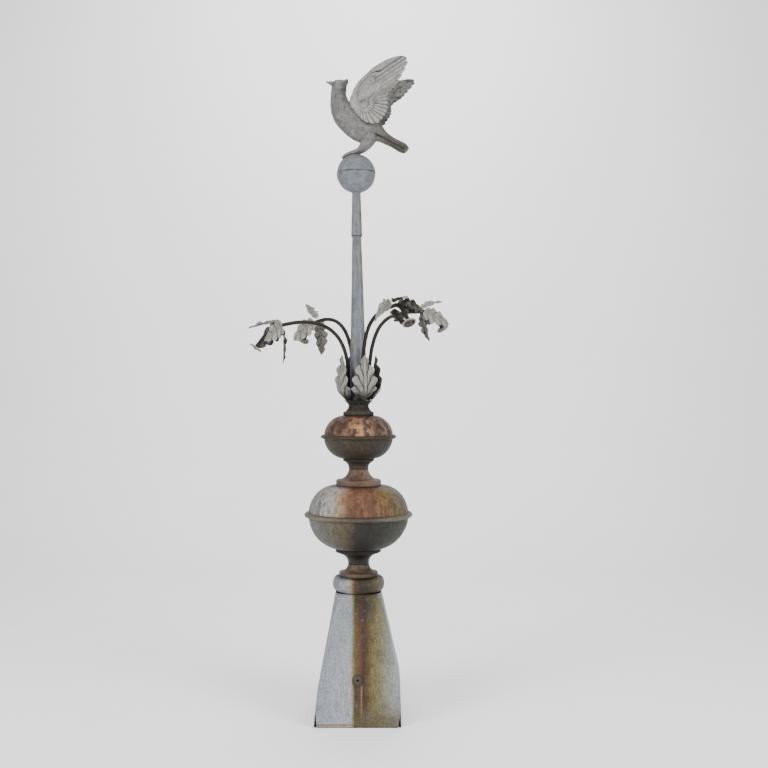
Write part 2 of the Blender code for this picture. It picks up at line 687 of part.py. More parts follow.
def wing_point(side, angle, share):
    """Point of a wing: a fan from the root in a plane that leans out above the flank."""
    reach = wing_reach(angle) * share
    rise = WING_ROOT[1] - WING_HINGE + reach * math.sin(math.radians(angle))
    lifted = max(rise, 0.0)
    along = WING_ROOT[0] + reach * math.cos(math.radians(angle)) + WING_SWEEP * lifted
    outward = BIRD_HALF_BREADTH + FIT_GAP + WING_THICKNESS / 2
    outward += WING_SPREAD * lifted**2 / (lifted + WING_BEND) * BIRD_SCALE
    height = WING_HINGE + min(rise, 0.0) + WING_RISE * lifted
    return Vector((along * BIRD_SCALE, side * outward, height * BIRD_SCALE))


def build_wing(name, side, material):
    """Wing plate as a fan of rings from the root to the feather tips."""
    bm = bmesh.new()
    hub = bm.verts.new(wing_point(side, 0.0, 0.0))
    angles = wing_angles()
    rings = [[bm.verts.new(wing_point(side, angle, share)) for angle in angles] for share in (0.45, 0.78, 1.0)]
    for i, corner in enumerate(rings[0]):
        bm.faces.new((hub, corner, rings[0][(i + 1) % len(angles)]))
    for lower, upper in zip(rings, rings[1:]):
        for i, corner in enumerate(lower):
            j = (i + 1) % len(angles)
            bm.faces.new((corner, upper[i], upper[j], lower[j]))
    return thicken(add_object(name, bm, material), WING_THICKNESS)


def bird_section(ring):
    """Oval of points round one section of the bird's body."""
    belly = Vector((ring.belly[0], 0.0, ring.belly[1]))
    back = Vector((ring.back[0], 0.0, ring.back[1]))
    centre = (belly + back) / 2
    points = []
    for step in range(BIRD_SIDES):
        angle = 2 * math.pi * step / BIRD_SIDES
        flank = Vector((0.0, ring.half_width * math.sin(angle), 0.0))
        points.append((centre + (back - belly) / 2 * math.cos(angle) + flank) * BIRD_SCALE)
    return points


def limb(name, path, radii, material, sides=8):
    """Round tapering limb along a path in the bird's own upright plane."""
    rings = []
    for i, point in enumerate(path):
        before = Vector(path[max(i - 1, 0)])
        after = Vector(path[min(i + 1, len(path) - 1)])
        along = (after - before).normalized()
        across = Vector((0.0, 1.0, 0.0))
        rings.append(circle(point, across, along.cross(across).normalized(), radii[i], sides))
    return add_object(name, loft(rings), material)


def foot_path(side):
    """Leg from the belly down to the ball, then toes laid over the ball's curve."""
    stance = side * 10 * MM
    path = [Vector((36, 0, 40)) * BIRD_SCALE, Vector((24, 0, 22)) * BIRD_SCALE, Vector((9, 0, 9)) * BIRD_SCALE]
    for point in path:
        point.y = stance
    radii = [16 * BIRD_SCALE, 12 * BIRD_SCALE, 7 * BIRD_SCALE]
    for degrees, thickness in ((-7, 0.95), (-18, 0.84), (-29, 0.76), (-37, 0.64), (-42, 0.4)):
        radius = thickness * FOOT_THICKNESS / 2
        lift = BALL_RADIUS + FIT_GAP * 3 + radius
        ring_height = math.sqrt(lift**2 - stance**2)
        angle = math.radians(degrees)
        path.append(Vector((ring_height * math.sin(angle), stance, ring_height * math.cos(angle) - BALL_RADIUS)))
        radii.append(radius)
    return path, radii


def build_bird(zinc, axis):
    """Cast bird on the ball, with raised wings set against its flanks."""
    perch = bpy.data.objects.new("bird_perch", None)
    bpy.context.scene.collection.objects.link(perch)
    perch.parent = axis
    perch.location = (0.0, 0.0, BALL_CENTRE + FIT_GAP + BALL_RADIUS)
    perch.rotation_euler = (0.0, 0.0, BIRD_YAW)
    body = add_object("bird_body", loft([bird_section(ring) for ring in BIRD_RINGS]), zinc)
    unit = BIRD_SCALE
    beak = limb("beak", [Vector((-52, 0, 183)) * unit, Vector((-63, 0, 187)) * unit,
                         Vector((-78.5, 0, 192)) * unit], [9.5 * unit, 6.5 * unit, 0.8 * unit], zinc)
    crest = limb("crest", [Vector((-30, 0, 181)) * unit, Vector((-23.5, 0, 190)) * unit,
                           Vector((-20, 0, 196.5)) * unit], [8 * unit, 6.5 * unit, 3 * unit], zinc)
    helpers = [beak, crest]
    for side in (-1, 1):
        path, radii = foot_path(side)
        helpers.append(limb(f"leg_{side}", path, radii, zinc))
    for helper in helpers:
        helper.parent = perch
        combine(body, helper, "UNION")
    wings = [build_wing("bird_wing_left", -1, zinc), build_wing("bird_wing_right", 1, zinc)]
    for piece in [body] + wings:
        piece.parent = perch


def azimuth_frame(degrees):
    """Outward and sideways unit vectors at an azimuth counted from the front towards +X."""
    angle = math.radians(degrees)
    return Vector((math.sin(angle), -math.cos(angle), 0.0)), Vector((math.cos(angle), math.sin(angle), 0.0))


def bezier(points, share):
    """Point on a cubic curve through four control points."""
    rest = 1 - share
    weights = (rest**3, 3 * rest**2 * share, 3 * rest * share**2, share**3)
    return sum((weight * point for weight, point in zip(weights, points)), Vector((0.0, 0.0)))


def stem_profile(spray):
    """Reach and height along a stem: upright, arched out to the hub, then down to the button."""
    upright = Vector((STEM_BASE_REACH + STEM_UPRIGHT_STEP, CUP_TOP + STEM_UPRIGHT_HEIGHT))
    start = Vector((STEM_BASE_REACH, CUP_TOP + FIT_GAP))
    knee = Vector((upright.x + STEM_KNEE_STEP, CUP_TOP + spray.knee))
    hub = Vector((spray.hub_reach, CUP_TOP + spray.hub_height))
    slope = math.radians(spray.hub_slope)
    heading = Vector((math.cos(slope), math.sin(slope)))
    arch = (upright, knee, hub - STEM_LEAD * heading, hub)
    end = hub + Vector((spray.bud_reach, -spray.bud_drop))
    bow = hub + STEM_BOW * spray.bud_reach * heading
    tail = (hub, bow, (bow + end) / 2, end)
    points = [start] + [bezier(arch, step / STEM_ARCH_STEPS) for step in range(STEM_ARCH_STEPS + 1)]
    return points + [bezier(tail, step / STEM_TAIL_STEPS) for step in range(1, STEM_TAIL_STEPS + 1)]


def stem_points(spray):
    """Stem centre line in space, swinging a little sideways as it reaches out."""
    points = []
    for flat in stem_profile(spray):
        share = max(0.0, (flat.x - STEM_BASE_REACH) / (spray.hub_reach + spray.bud_reach - STEM_BASE_REACH))
        outward, _ = azimuth_frame(spray.azimuth + spray.swing * share)
        points.append(outward * flat.x + Vector((0, 0, flat.y)))
    return points


def tube(points, radii, across, sides):
    """Round tube of changing radius along a path, with rings square to it."""
    rings = []
    for i, point in enumerate(points):
        along = (points[min(i + 1, len(points) - 1)] - points[max(i - 1, 0)]).normalized()
        if i == 0:
            along = Vector((0.0, 0.0, 1.0))
        side = (across - along * across.dot(along)).normalized()
        rings.append(circle(point, side, along.cross(side), radii[i], sides))
    return loft(rings)


def spray_leaf_half_width(leaf, share):
    """Half-width of a spray leaf: narrow stalk, three pairs of lobes and a pointed tip."""
    envelope = math.sin(math.pi * share**0.72)**0.7 if 0 < share < 1 else 0.0
    lobes = 0.66 + 0.34 * abs(math.sin(4 * math.pi * share))
    return max(1.6 * MM, leaf.half_width * envelope * lobes)


def spray_leaf_points(points, spray, leaf, rows, columns):
    """Grid of a drooping leaf that opens from the stem's hub."""
    hub = points[STEM_HUB_INDEX]
    along = (points[STEM_HUB_INDEX + 1] - points[STEM_HUB_INDEX - 1]).normalized()
    _, across = azimuth_frame(spray.azimuth + spray.swing)
    across = (across - along * across.dot(along)).normalized()
    top = along.cross(across).normalized()
    turn = math.radians(leaf.turn)
    spoke = top * math.cos(turn) + across * math.sin(turn)
    edge = spoke.cross(along).normalized()
    start = hub + spoke * (STEM_TIP_RADIUS + 2 * FIT_GAP + SPRAY_LEAF_THICKNESS)
    grid = []
    centre = start.copy()
    step_length = leaf.length / (rows - 1)
    for row in range(rows):
        share = row / (rows - 1)
        opening = math.radians(leaf.opening + (leaf.closing - leaf.opening) * share)
        heading = along * math.cos(opening) + spoke * math.sin(opening)
        droop = Vector((0, 0, -leaf.droop * leaf.length * share**2))
        normal = heading.cross(edge)
        half = spray_leaf_half_width(leaf, share)
        line = []
        for column in range(columns):
            offset = (2 * column / (columns - 1) - 1) * half
            fold = -0.22 * abs(offset)
            line.append(centre + droop + edge * offset - normal * fold)
        grid.append(line)
        centre = centre + heading * step_length
    return grid


def build_button(name, centre, direction, across, material):
    """Small dished flower with a thick rim and a boss, facing away from its stem."""
    side = (across - direction * across.dot(direction)).normalized()
    up = direction.cross(side)
    profile = ((0.30, 0.0), (0.93, 0.12), (1.0, 0.4), (0.9, 0.72), (0.62, 0.5), (0.32, 0.72), (0.2, 1.0))
    rings = [circle(centre + direction * BUTTON_DEPTH * depth, side, up, BUTTON_RADIUS * radius, BUTTON_SIDES)
             for radius, depth in profile]
    return add_object(name, loft(rings), material)


def build_sprays(iron, leaf_zinc):
    """Four iron stems, each with four leaves and a button flower."""
    for number, spray in enumerate(SPRAYS, 1):
        points = stem_points(spray)
        _, across = azimuth_frame(spray.azimuth)
        radii = [STEM_RADIUS] * (STEM_HUB_INDEX + 1) + [STEM_TIP_RADIUS] * STEM_TAIL_STEPS
        add_object(f"spray_stem_{number}", tube(points, radii, across, STEM_SIDES), iron)
        direction = (points[-1] - points[-2]).normalized()
        build_button(f"spray_button_{number}", points[-1] + direction * 2 * FIT_GAP, direction, across, leaf_zinc)
        for index, leaf in enumerate(spray.leaves, 1):
            sheet = grid_sheet(spray_leaf_points(points, spray, leaf, 9, 3))
            piece = add_object(f"spray_leaf_{number}_{index}", sheet, leaf_zinc)
            thicken(piece, SPRAY_LEAF_THICKNESS)


def main():
    """Build the finial from the bottom up."""
    clear_scene()
    zinc = make_material("weathered_zinc", (0.40, 0.42, 0.44), 0.55, 0.7)
    stained = make_material("stained_zinc", (0.22, 0.15, 0.10), 0.65, 0.45)
    dark = make_material("dark_zinc", (0.07, 0.06, 0.05), 0.7, 0.4)
    leaf_zinc = make_material("leaf_zinc", (0.42, 0.43, 0.39), 0.6, 0.55)
    iron = make_material("stem_iron", (0.08, 0.06, 0.05), 0.7, 0.5)
    build_skirt(zinc)
    build_nail_washer(stained)
    build_collar(zinc)
    build_necks_and_bulbs(stained)
    build_calyx(dark, leaf_zinc)
    axis = build_shaft(zinc)
    build_bird(zinc, axis)
    build_sprays(iron, leaf_zinc)
    bpy.context.view_layer.update()


main()
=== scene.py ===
"""Looks of a weathered zinc roof finial: stained skirt, spun bulbs, leaf calyx, flower sprays and bird.

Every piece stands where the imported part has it. Lengths are in metres, +Z is up and the skirt's
front faces -Y. Azimuths are degrees from the front towards +X.
"""

import json
import logging
import math
from collections.abc import Callable
from dataclasses import dataclass, field
from enum import Enum

import bmesh
import bpy
import numpy as np
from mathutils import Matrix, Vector
from numpy.typing import NDArray

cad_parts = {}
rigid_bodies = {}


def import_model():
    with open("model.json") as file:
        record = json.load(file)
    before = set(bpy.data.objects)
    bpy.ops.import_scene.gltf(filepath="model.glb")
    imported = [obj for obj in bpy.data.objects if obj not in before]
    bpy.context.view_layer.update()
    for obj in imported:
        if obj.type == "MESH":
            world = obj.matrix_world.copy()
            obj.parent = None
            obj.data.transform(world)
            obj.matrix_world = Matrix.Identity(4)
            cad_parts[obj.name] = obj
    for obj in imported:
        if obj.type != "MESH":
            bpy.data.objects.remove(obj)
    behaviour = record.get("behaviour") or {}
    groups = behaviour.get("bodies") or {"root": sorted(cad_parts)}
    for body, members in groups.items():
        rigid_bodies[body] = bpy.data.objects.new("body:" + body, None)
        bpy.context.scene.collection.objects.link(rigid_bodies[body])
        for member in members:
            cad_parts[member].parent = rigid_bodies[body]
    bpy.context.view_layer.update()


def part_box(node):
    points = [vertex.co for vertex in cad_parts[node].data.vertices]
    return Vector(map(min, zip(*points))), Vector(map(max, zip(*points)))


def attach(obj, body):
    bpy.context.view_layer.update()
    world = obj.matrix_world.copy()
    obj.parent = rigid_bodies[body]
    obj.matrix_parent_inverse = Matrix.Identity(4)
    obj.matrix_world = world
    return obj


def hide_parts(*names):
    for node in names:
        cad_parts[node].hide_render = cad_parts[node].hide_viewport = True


Array = NDArray[np.float64]
Colour = tuple[float, float, float]
Stops = tuple[tuple[float, Colour], ...]
Pair = tuple[float, float]
Spot = tuple[float, float, float]
Row = tuple[float, ...]
Material = bpy.types.Material
Piece = bpy.types.Object

MM = 0.001
LOG = logging.getLogger("roof_finial")

FIT = 0.3 * MM
SHINE = 0.22
NOISE_MIDDLE = (0.3, 0.7)
NOISE_ROUGHNESS = 0.6
NEARLY_NOTHING = 1e-12


def tint(code: int) -> Colour:
    """Linear colour of a screen colour.

    Args:
        code: Its red, green and blue in two hexadecimal digits each.

    Returns:
        The three linear values.
    """
    shares = [value / 255 for value in code.to_bytes(3, "big")]
    linear = [s / 12.92 if s <= 0.04045 else ((s + 0.055) / 1.055) ** 2.4 for s in shares]
    return (linear[0], linear[1], linear[2])


def columns(*parts: Array | float) -> Array:
    """Arrays and numbers side by side on a new last axis."""
    return np.stack(np.broadcast_arrays(*parts), -1)


def circle(count: int) -> Array:
    """Angles spaced evenly round a full turn."""
    return np.linspace(0, 2 * np.pi, count, endpoint=False)


def unit(vectors: Array) -> Array:
    """Vectors scaled to a length of one."""
    return vectors / np.maximum(np.linalg.norm(vectors, axis=-1, keepdims=True), NEARLY_NOTHING)


def smooth(value: Array | float, low: float, high: float) -> Array:
    """Smooth step: 0 below low, 1 above high, and 3t^2 - 2t^3 between them."""
    share = np.clip((np.asarray(value, float) - low) / (high - low), 0.0, 1.0)
    return share * share * (3 - 2 * share)


def window(value: Array | float, rise: Pair, fall: Pair) -> Array:
    """Smooth step up over rise, and down again over fall."""
    return smooth(value, *rise) * (1 - smooth(value, *fall))


def hump(value: Array, centre: float, width: float) -> Array:
    """Bell curve exp(-((value - centre) / width)^2)."""
    return np.exp(-(((value - centre) / width) ** 2))


def ripple(points: Array, length: float, seed: int, waves: int = 7) -> Array:
    """Smooth random field over space: a sum of sine waves in random directions.

    Args:
        points: Points, with x, y and z on the last axis.
        length: Middle wavelength.
        seed: Number that fixes the field.
        waves: How many waves are added.

    Returns:
        Values mostly between -1 and 1.
    """
    dice = np.random.default_rng(seed)
    directions = unit(dice.normal(size=(waves, 3)))
    lengths = length * dice.uniform(0.7, 1.6, waves)
    phases = dice.uniform(0, 2 * np.pi, waves)
    return np.sin(2 * np.pi * (points @ directions.T) / lengths + phases).sum(-1) / math.sqrt(waves)


def catmull(knots: list[Array], share: Array) -> Array:
    """Catmull-Rom curve from the second of four knots to the third, at shares of the way."""
    before, start, end, after = knots
    slope = (end - before) * share + (2 * before - 5 * start + 4 * end - after) * share**2
    return start + 0.5 * (slope + (3 * start - before - 3 * end + after) * share**3)


def smooth_through(knots: Array, count: int) -> Array:
    """Catmull-Rom curve through rows of knots.

    Args:
        knots: One row of values for each knot.
        count: How many samples to take.

    Returns:
        One row for each sample.
    """
    position = np.linspace(0, len(knots) - 1, count)
    index = np.minimum(position.astype(int), len(knots) - 2)
    share = (position - index)[:, None]
    padded = np.concatenate([2 * knots[:1] - knots[1:2], knots, 2 * knots[-1:] - knots[-2:-1]])
    return catmull([padded[index + step] for step in range(4)], share)


def soften(profile: Array, cut: float) -> Array:
    """Corner cutting: each corner gives way to two points on its sides, and then once more.

    Args:
        profile: Points of an open profile.
        cut: How far from a corner the first cut may start.

    Returns:
        The rounded profile, with the same two ends.
    """
    for reach in (cut, 0.4 * cut):
        span = profile[1:] - profile[:-1]
        length = np.maximum(np.linalg.norm(span, axis=1, keepdims=True), 1e-9)
        step = span * np.minimum(reach, 0.3 * length) / length
        inner = np.stack([profile[:-1] + step, profile[1:] - step], 1).reshape(-1, profile.shape[1])
        profile = np.concatenate([profile[:1], inner[1:-1], profile[-1:]])
    return profile


def surface_normals(points: Array, towards: Array) -> Array:
    """Unit normals of a grid, across x along from central differences, on the side of a direction."""
    normals = unit(np.cross(np.gradient(points, axis=1), np.gradient(points, axis=0)))
    return normals * np.sign((normals * towards).sum(-1, keepdims=True))


def cubic(first: Array, second: Array, third: Array, fourth: Array, count: int) -> Array:
    """Cubic curve through four control points: the sum of their Bernstein weights times the points."""
    share = np.linspace(0, 1, count)[:, None]
    rest = 1 - share
    return rest**3 * first + 3 * rest**2 * share * second + 3 * rest * share**2 * third + share**3 * fourth


def hoops(middle: Array, across: Array, up: Array, radius: Array, sides: int, flat: float = 1.0) -> Array:
    """Ovals round a middle line: middle + r (cos a across + flat sin a up).

    Args:
        middle: Points of the middle line.
        across: Unit vectors across it.
        up: Unit vectors upright on both.
        radius: Radius at each point, as a column.
        sides: Points round each oval.
        flat: Height of an oval over its breadth.

    Returns:
        Grid of points, a row for each of the line's.
    """
    angle = circle(sides)
    return (middle[:, None] + (radius * np.cos(angle))[..., None] * across[:, None]
            + (flat * radius * np.sin(angle))[..., None] * up[:, None])


def azimuth_frame(degrees: Array | float) -> tuple[Array, Array]:
    """Outward and sideways unit vectors at an azimuth: (sin, -cos, 0) and (cos, sin, 0)."""
    angle = np.radians(degrees)
    return (columns(np.sin(angle), -np.cos(angle), 0.0),
            columns(np.cos(angle), np.sin(angle), 0.0))


class Mark(Enum):
    """Values that a mesh carries for its material."""

    # Painted shade in hollows, creases and seams, with some staining.
    CAVITY = "cavity"
    # Painted shade on back faces.
    UNDERSIDE = "underside"


@dataclass
class PieceMesh:
    """Points, faces and marks of one piece, gathered part by part."""

    points: list[Array] = field(default_factory=list)
    faces: list[list[int]] = field(default_factory=list)
    marks: dict[Mark, list[Array]] = field(default_factory=lambda: {mark: [] for mark in Mark})
    count: int = 0

    def add_points(self, points: Array, cavity: Array | float = 0.0, underside: float = 0.0) -> Array:
        """Add a grid of points.

        Args:
            points: Points, with x, y and z on the last axis.
            cavity: Painted shade in hollows and creases, with some staining, from 0 to 1.
            underside: 1 where the points are on the piece's back face, which takes painted shade.

        Returns:
            The points' numbers, in the grid's shape.
        """
        shape = points.shape[:-1]
        total = int(np.prod(shape))
        self.points.append(points.reshape(-1, 3))
        for mark, value in ((Mark.CAVITY, cavity), (Mark.UNDERSIDE, underside)):
            self.marks[mark].append(np.broadcast_to(value, shape).astype(float).ravel())
        index = self.count + np.arange(total).reshape(shape)
        self.count += total
        return index

    def add_quads(self, index: Array, wrap_rows: bool = False, wrap_columns: bool = False) -> None:
        """Cover a grid of point numbers with quads, closed along an axis where asked."""
        if wrap_columns:
            index = np.concatenate([index, index[:, :1]], 1)
        if wrap_rows:
            index = np.concatenate([index, index[:1]], 0)
        quads = columns(index[:-1, :-1], index[:-1, 1:], index[1:, 1:], index[1:, :-1])
        self.faces.extend(quads.reshape(-1, 4).tolist())

    def add_fan(self, ring: Array, centre: Array) -> None:
        """Close a ring of point numbers with triangles to one centre point."""
        ring = ring.ravel()
        hub = np.full_like(ring, int(np.ravel(centre)[0]))
        self.faces.extend(columns(ring, np.roll(ring, -1), hub).tolist())

    def add_tube(self, rings: Array, cavity: Array | float = 0.0, ends: list[Array] | None = None) -> None:
        """Skin rows of rings and close both ends with fans, to their middles or to given points."""
        index = self.add_points(rings, cavity)
        self.add_quads(index, wrap_columns=True)
        for numbers, end in zip((index[0], index[-1]), ends or [rings[0].mean(0), rings[-1].mean(0)]):
            self.add_fan(numbers, self.add_points(end[None]))

    def add_turned(self, rings: Array, cavity: Array | float = 0.0) -> None:
        """Skin turned rings whose first and last rows lie on the axis."""
        self.add_tube(rings[1:-1], cavity, [rings[0, 0], rings[-1, 0]])

    def add_plate(self, middle: Array, normals: Array, front: Array, back: Array, cavity: Array | float,
                  back_shade: float = 1.0) -> None:
        """Solid plate round a middle surface: front and back grids joined along their border.

        Args:
            middle: Grid of points in the plate's middle.
            normals: Unit normals towards the front.
            front: Height of the front above the middle, at each point.
            back: Depth of the back below the middle, at each point.
            cavity: Painted shade in hollows and creases, with some staining, at each point.
            back_shade: How dark the painted shade on the back face is, from 0 to 1.
        """
        top = self.add_points(middle + normals * front[..., None], cavity)
        bottom = self.add_points(middle - normals * back[..., None], cavity, back_shade)
        self.add_quads(top)
        self.add_quads(bottom[:, ::-1])
        rims = [np.concatenate([grid[0, :-1], grid[:-1, -1], grid[-1, :0:-1], grid[:0:-1, 0]])
                for grid in (top, bottom)]
        self.add_quads(np.stack(rims), wrap_columns=True)

    def build(self, name: str, material: Material, sharp: float = 50.0) -> Piece:
        """Make the object, with outward faces, smooth shading and sharp folds.

        Args:
            name: Name of the piece.
            material: Its finish.
            sharp: Fold angle above which an edge is sharp.

        Returns:
            The new object, at the origin.
        """
        mesh = bpy.data.meshes.new(name)
        mesh.from_pydata(np.concatenate(self.points).tolist(), [], self.faces)
        for mark, values in self.marks.items():
            layer = mesh.attributes.new(mark.value, "FLOAT", "POINT")
            layer.data.foreach_set("value", np.concatenate(values).astype(np.float32))
        bm = bmesh.new()
        bm.from_mesh(mesh)
        bmesh.ops.delete(bm, geom=[v for v in bm.verts if not v.link_faces], context="VERTS")
        bmesh.ops.remove_doubles(bm, verts=bm.verts, dist=1e-6)
        bmesh.ops.recalc_face_normals(bm, faces=bm.faces)
        bm.to_mesh(mesh)
        bm.free()
        mesh.materials.append(material)
        mesh.shade_smooth()
        mesh.set_sharp_from_angle(angle=math.radians(sharp))
        piece = bpy.data.objects.new(name, mesh)
        bpy.context.scene.collection.objects.link(piece)
        return piece

    def dress(self, node: str, name: str, material: Material, slot: str, sharp: float = 50.0) -> Piece:
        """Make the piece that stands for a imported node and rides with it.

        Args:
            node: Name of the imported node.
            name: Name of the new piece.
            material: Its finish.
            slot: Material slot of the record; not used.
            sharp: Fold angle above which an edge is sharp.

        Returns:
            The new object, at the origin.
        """
        piece = self.build(name, material, sharp)
        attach(piece, "root")
        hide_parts(node)
        LOG.info("%s: %d faces", piece.name, len(self.faces))
        return piece


def arithmetic(operation: str) -> Callable[["Signal", "Signal | float"], "Signal"]:
    """Operator between a signal and another or a number."""
    return lambda self, other: self.graph.math(operation, self, other)


@dataclass(frozen=True)
class Signal:
    """One output of a material's graph, with arithmetic."""

    graph: "Graph"
    socket: bpy.types.NodeSocket

    __add__ = __radd__ = arithmetic("ADD")
    __sub__ = arithmetic("SUBTRACT")
    __mul__ = __rmul__ = arithmetic("MULTIPLY")
    __truediv__ = arithmetic("DIVIDE")
    __pow__ = arithmetic("POWER")

    def __rsub__(self, other: float) -> "Signal":
        """Difference from a number."""
        return self.graph.math("SUBTRACT", other, self)

    def __abs__(self) -> "Signal":
        """Size without its sign."""
        return self.graph.math("ABSOLUTE", self, 0.0)

    def between(self, low: float, high: float) -> "Signal":
        """Smooth step from 0 at low to 1 at high."""
        return self.graph.add("ShaderNodeMapRange", {"interpolation_type": "SMOOTHSTEP"},
                              {0: self, 1: low, 2: high})


def swing(noise: Signal, amount: float) -> Signal:
    """Noise moved to lie about zero, times an amount."""
    return (noise - 0.5) * amount


class Graph:
    """Node graph of one material, written as arithmetic on signals."""

    def __init__(self, name: str) -> None:
        """Start a material with its main shader.

        Args:
            name: Name of the material.
        """
        self.material = bpy.data.materials.new(name)
        self.material.use_nodes = True
        self.tree = self.material.node_tree
        self.shader = self.tree.nodes["Principled BSDF"]
        self.place = self.add("ShaderNodeTexCoord", {}, {}, "Object")
        parts = self.tree.nodes.new("ShaderNodeSeparateXYZ")
        self.connect(parts.inputs[0], self.place)
        self.x, self.y, self.z = (Signal(self, socket) for socket in parts.outputs)

    def connect(self, socket: bpy.types.NodeSocket, value: "Signal | Colour | float") -> None:
        """Feed a socket with a signal, or set its own value."""
        if isinstance(value, Signal):
            self.tree.links.new(value.socket, socket)
        elif socket.type == "RGBA":
            socket.default_value = (*value, 1.0)
        else:
            socket.default_value = value

    def add(self, kind: str, settings: dict, inputs: dict, output: int | str = 0) -> Signal:
        """Add any node: its settings first, then its sockets.

        Args:
            kind: The node's type.
            settings: Values of its own properties.
            inputs: Values or signals for its sockets, by name or number.
            output: Which output is wanted.

        Returns:
            That output as a signal.
        """
        node = self.tree.nodes.new(kind)
        for name, value in settings.items():
            setattr(node, name, value)
        for key, value in inputs.items():
            self.connect(node.inputs[key], value)
        return Signal(self, node.outputs[output])

    def math(self, operation: str, first: "Signal | float", second: "Signal | float") -> Signal:
        """One step of arithmetic."""
        return self.add("ShaderNodeMath", {"operation": operation}, {0: first, 1: second})

    def mix(self, factor: Signal, first: "Signal | Colour", second: "Signal | Colour") -> Signal:
        """Colour between two, by a clamped factor."""
        return self.add("ShaderNodeMix", {"data_type": "RGBA", "clamp_factor": True},
                        {0: factor, 6: first, 7: second}, 2)

    def brighten(self, colour: Signal, factor: "Signal | float") -> Signal:
        """Colour times a number."""
        return self.add("ShaderNodeVectorMath", {"operation": "SCALE"},
                        {"Vector": colour, "Scale": factor})

    def noise(self, size: float, seed: float, detail: float = 4.0, squeeze: float = 1.0) -> Signal:
        """Cloudy noise over the piece, its middle values stretched to reach from 0 to 1.

        Args:
            size: Size of its patches.
            seed: Number that fixes the pattern.
            detail: Octaves of finer noise.
            squeeze: Below 1, the patches are drawn out upwards.

        Returns:
            The noise.
        """
        place = self.add("ShaderNodeVectorMath", {"operation": "MULTIPLY"},
                         {0: self.place, 1: (1.0, 1.0, squeeze)})
        cloud = self.add("ShaderNodeTexNoise", {"noise_dimensions": "4D"},
                         {"Vector": place, "W": seed, "Scale": 1.0 / size, "Detail": detail,
                          "Roughness": NOISE_ROUGHNESS})
        return self.add("ShaderNodeMapRange", {}, {0: cloud, 1: NOISE_MIDDLE[0], 2: NOISE_MIDDLE[1]})

    def cells(self, size: float, seed: float) -> Signal:
        """Even grey value for each crystal-like cell."""
        colour = self.add("ShaderNodeTexVoronoi", {"voronoi_dimensions": "4D"},
                          {"Vector": self.place, "W": seed, "Scale": 1.0 / size}, "Color")
        return self.add("ShaderNodeSeparateColor", {}, {0: colour})

    def mark(self, mark: Mark) -> Signal:
        """Value that the mesh carries."""
        return self.add("ShaderNodeAttribute", {"attribute_name": mark.value}, {}, "Fac")

    def ramp(self, factor: Signal, stops: Stops) -> Signal:
        """Colour ramp.

        Args:
            factor: Where on the ramp, from 0 to 1.
            stops: Places and colours, in rising order.

        Returns:
            The colour.
        """
        colour = self.add("ShaderNodeValToRGB", {}, {0: factor})
        elements = colour.socket.node.color_ramp.elements
        elements.remove(elements[1])
        elements[0].position, elements[0].color = stops[0][0], (*stops[0][1], 1.0)
        for position, value in stops[1:]:
            elements.new(position).color = (*value, 1.0)
        return colour

    def finish(self, colour: Signal, roughness: Signal, metallic: float, height: Signal,
               bump: float) -> Material:
        """Set the shader's sockets.

        Args:
            colour: Surface colour.
            roughness: Roughness over the surface.
            metallic: Metallic value, the same everywhere.
            height: Fine relief, from 0 to 1.
            bump: How deep the fine relief is.

        Returns:
            The material.
        """
        relief = self.add("ShaderNodeBump", {}, {"Strength": 1.0, "Distance": bump, "Height": height},
                          "Normal")
        for name, value in (("Base Color", colour), ("Roughness", roughness), ("Metallic", metallic),
                            ("Specular IOR Level", SHINE), ("Normal", relief)):
            self.connect(self.shader.inputs[name], value)
        return self.material


@dataclass(frozen=True)
class Stain:
    """Stain on the skirt's front that fades in and out across it and up it."""

    colour: Colour
    amount: float
    broken: float = 0.0
    left: Pair | None = None
    right: Pair | None = None
    foot: Pair | None = None
    head: Pair | None = None

    def cover(self, graph: Graph, run: Signal) -> Signal:
        """How much of it shows at each place, broken up by the streaks.

        Args:
            graph: The material's graph.
            run: Noise of the streaks.

        Returns:
            The cover, from 0 to about 1.
        """
        share = run * self.broken + self.amount
        for along, edge in ((graph.x, self.left), (graph.z, self.foot)):
            share = share * along.between(*edge) if edge else share
        for along, edge in ((graph.x, self.right), (graph.z, self.head)):
            share = share * (1.0 - along.between(*edge)) if edge else share
        return share


NAIL_HEIGHT = 115 * MM
BELOW_WASHER = (98 * MM, 106 * MM)
FRONT_STAINS = (
    Stain(tint(0x463e32), 0.6, 0.3, (-10.5 * MM, -7 * MM), (2 * MM, 6 * MM), head=BELOW_WASHER),
    Stain(tint(0xa0805e), 0.6, 0.0, (7.5 * MM, 9 * MM), (11 * MM, 12.5 * MM), head=BELOW_WASHER),
    Stain(tint(0x60573e), 0.6, 0.4, (-12 * MM, -6 * MM), head=(8 * MM, 85 * MM)),
    Stain(tint(0x362e26), 0.45, 0.4, (-18 * MM, -4 * MM), (30 * MM, 60 * MM), (240 * MM, 300 * MM)),
    Stain(tint(0x967452), 0.85, 0.0, None, (-14 * MM, -8 * MM), (3 * MM, 5.5 * MM), (8 * MM, 11 * MM)),
)
WASHER_HALO = Stain(tint(0x342c22), 0.5, 0.4)
HALO_EDGE = (12.5 * MM, 17.5 * MM)
SIDE_OCHRE = tint(0x968a70)
SIDE_SLANT = 0.55
SIDE_FADE = 30 * MM


class Layer(Enum):
    """Noises of a patina: how far the seed of each one is moved, and its octaves."""

    BLOTCH = (0.0, 6.0)
    PATCH = (3.1, 5.0)
    GRAIN = (1.7, 5.0)
    RUN = (5.3, 4.0)
    DARK = (8.9, 8.0)
    PALE = (12.4, 8.0)


class Pattern(Enum):
    """How a patina's colours are laid out."""

    ROUND = "round the axis"
    FRONT = "across the front side"
    ACROSS = "across the whole piece"
    ALONG = "along the height"


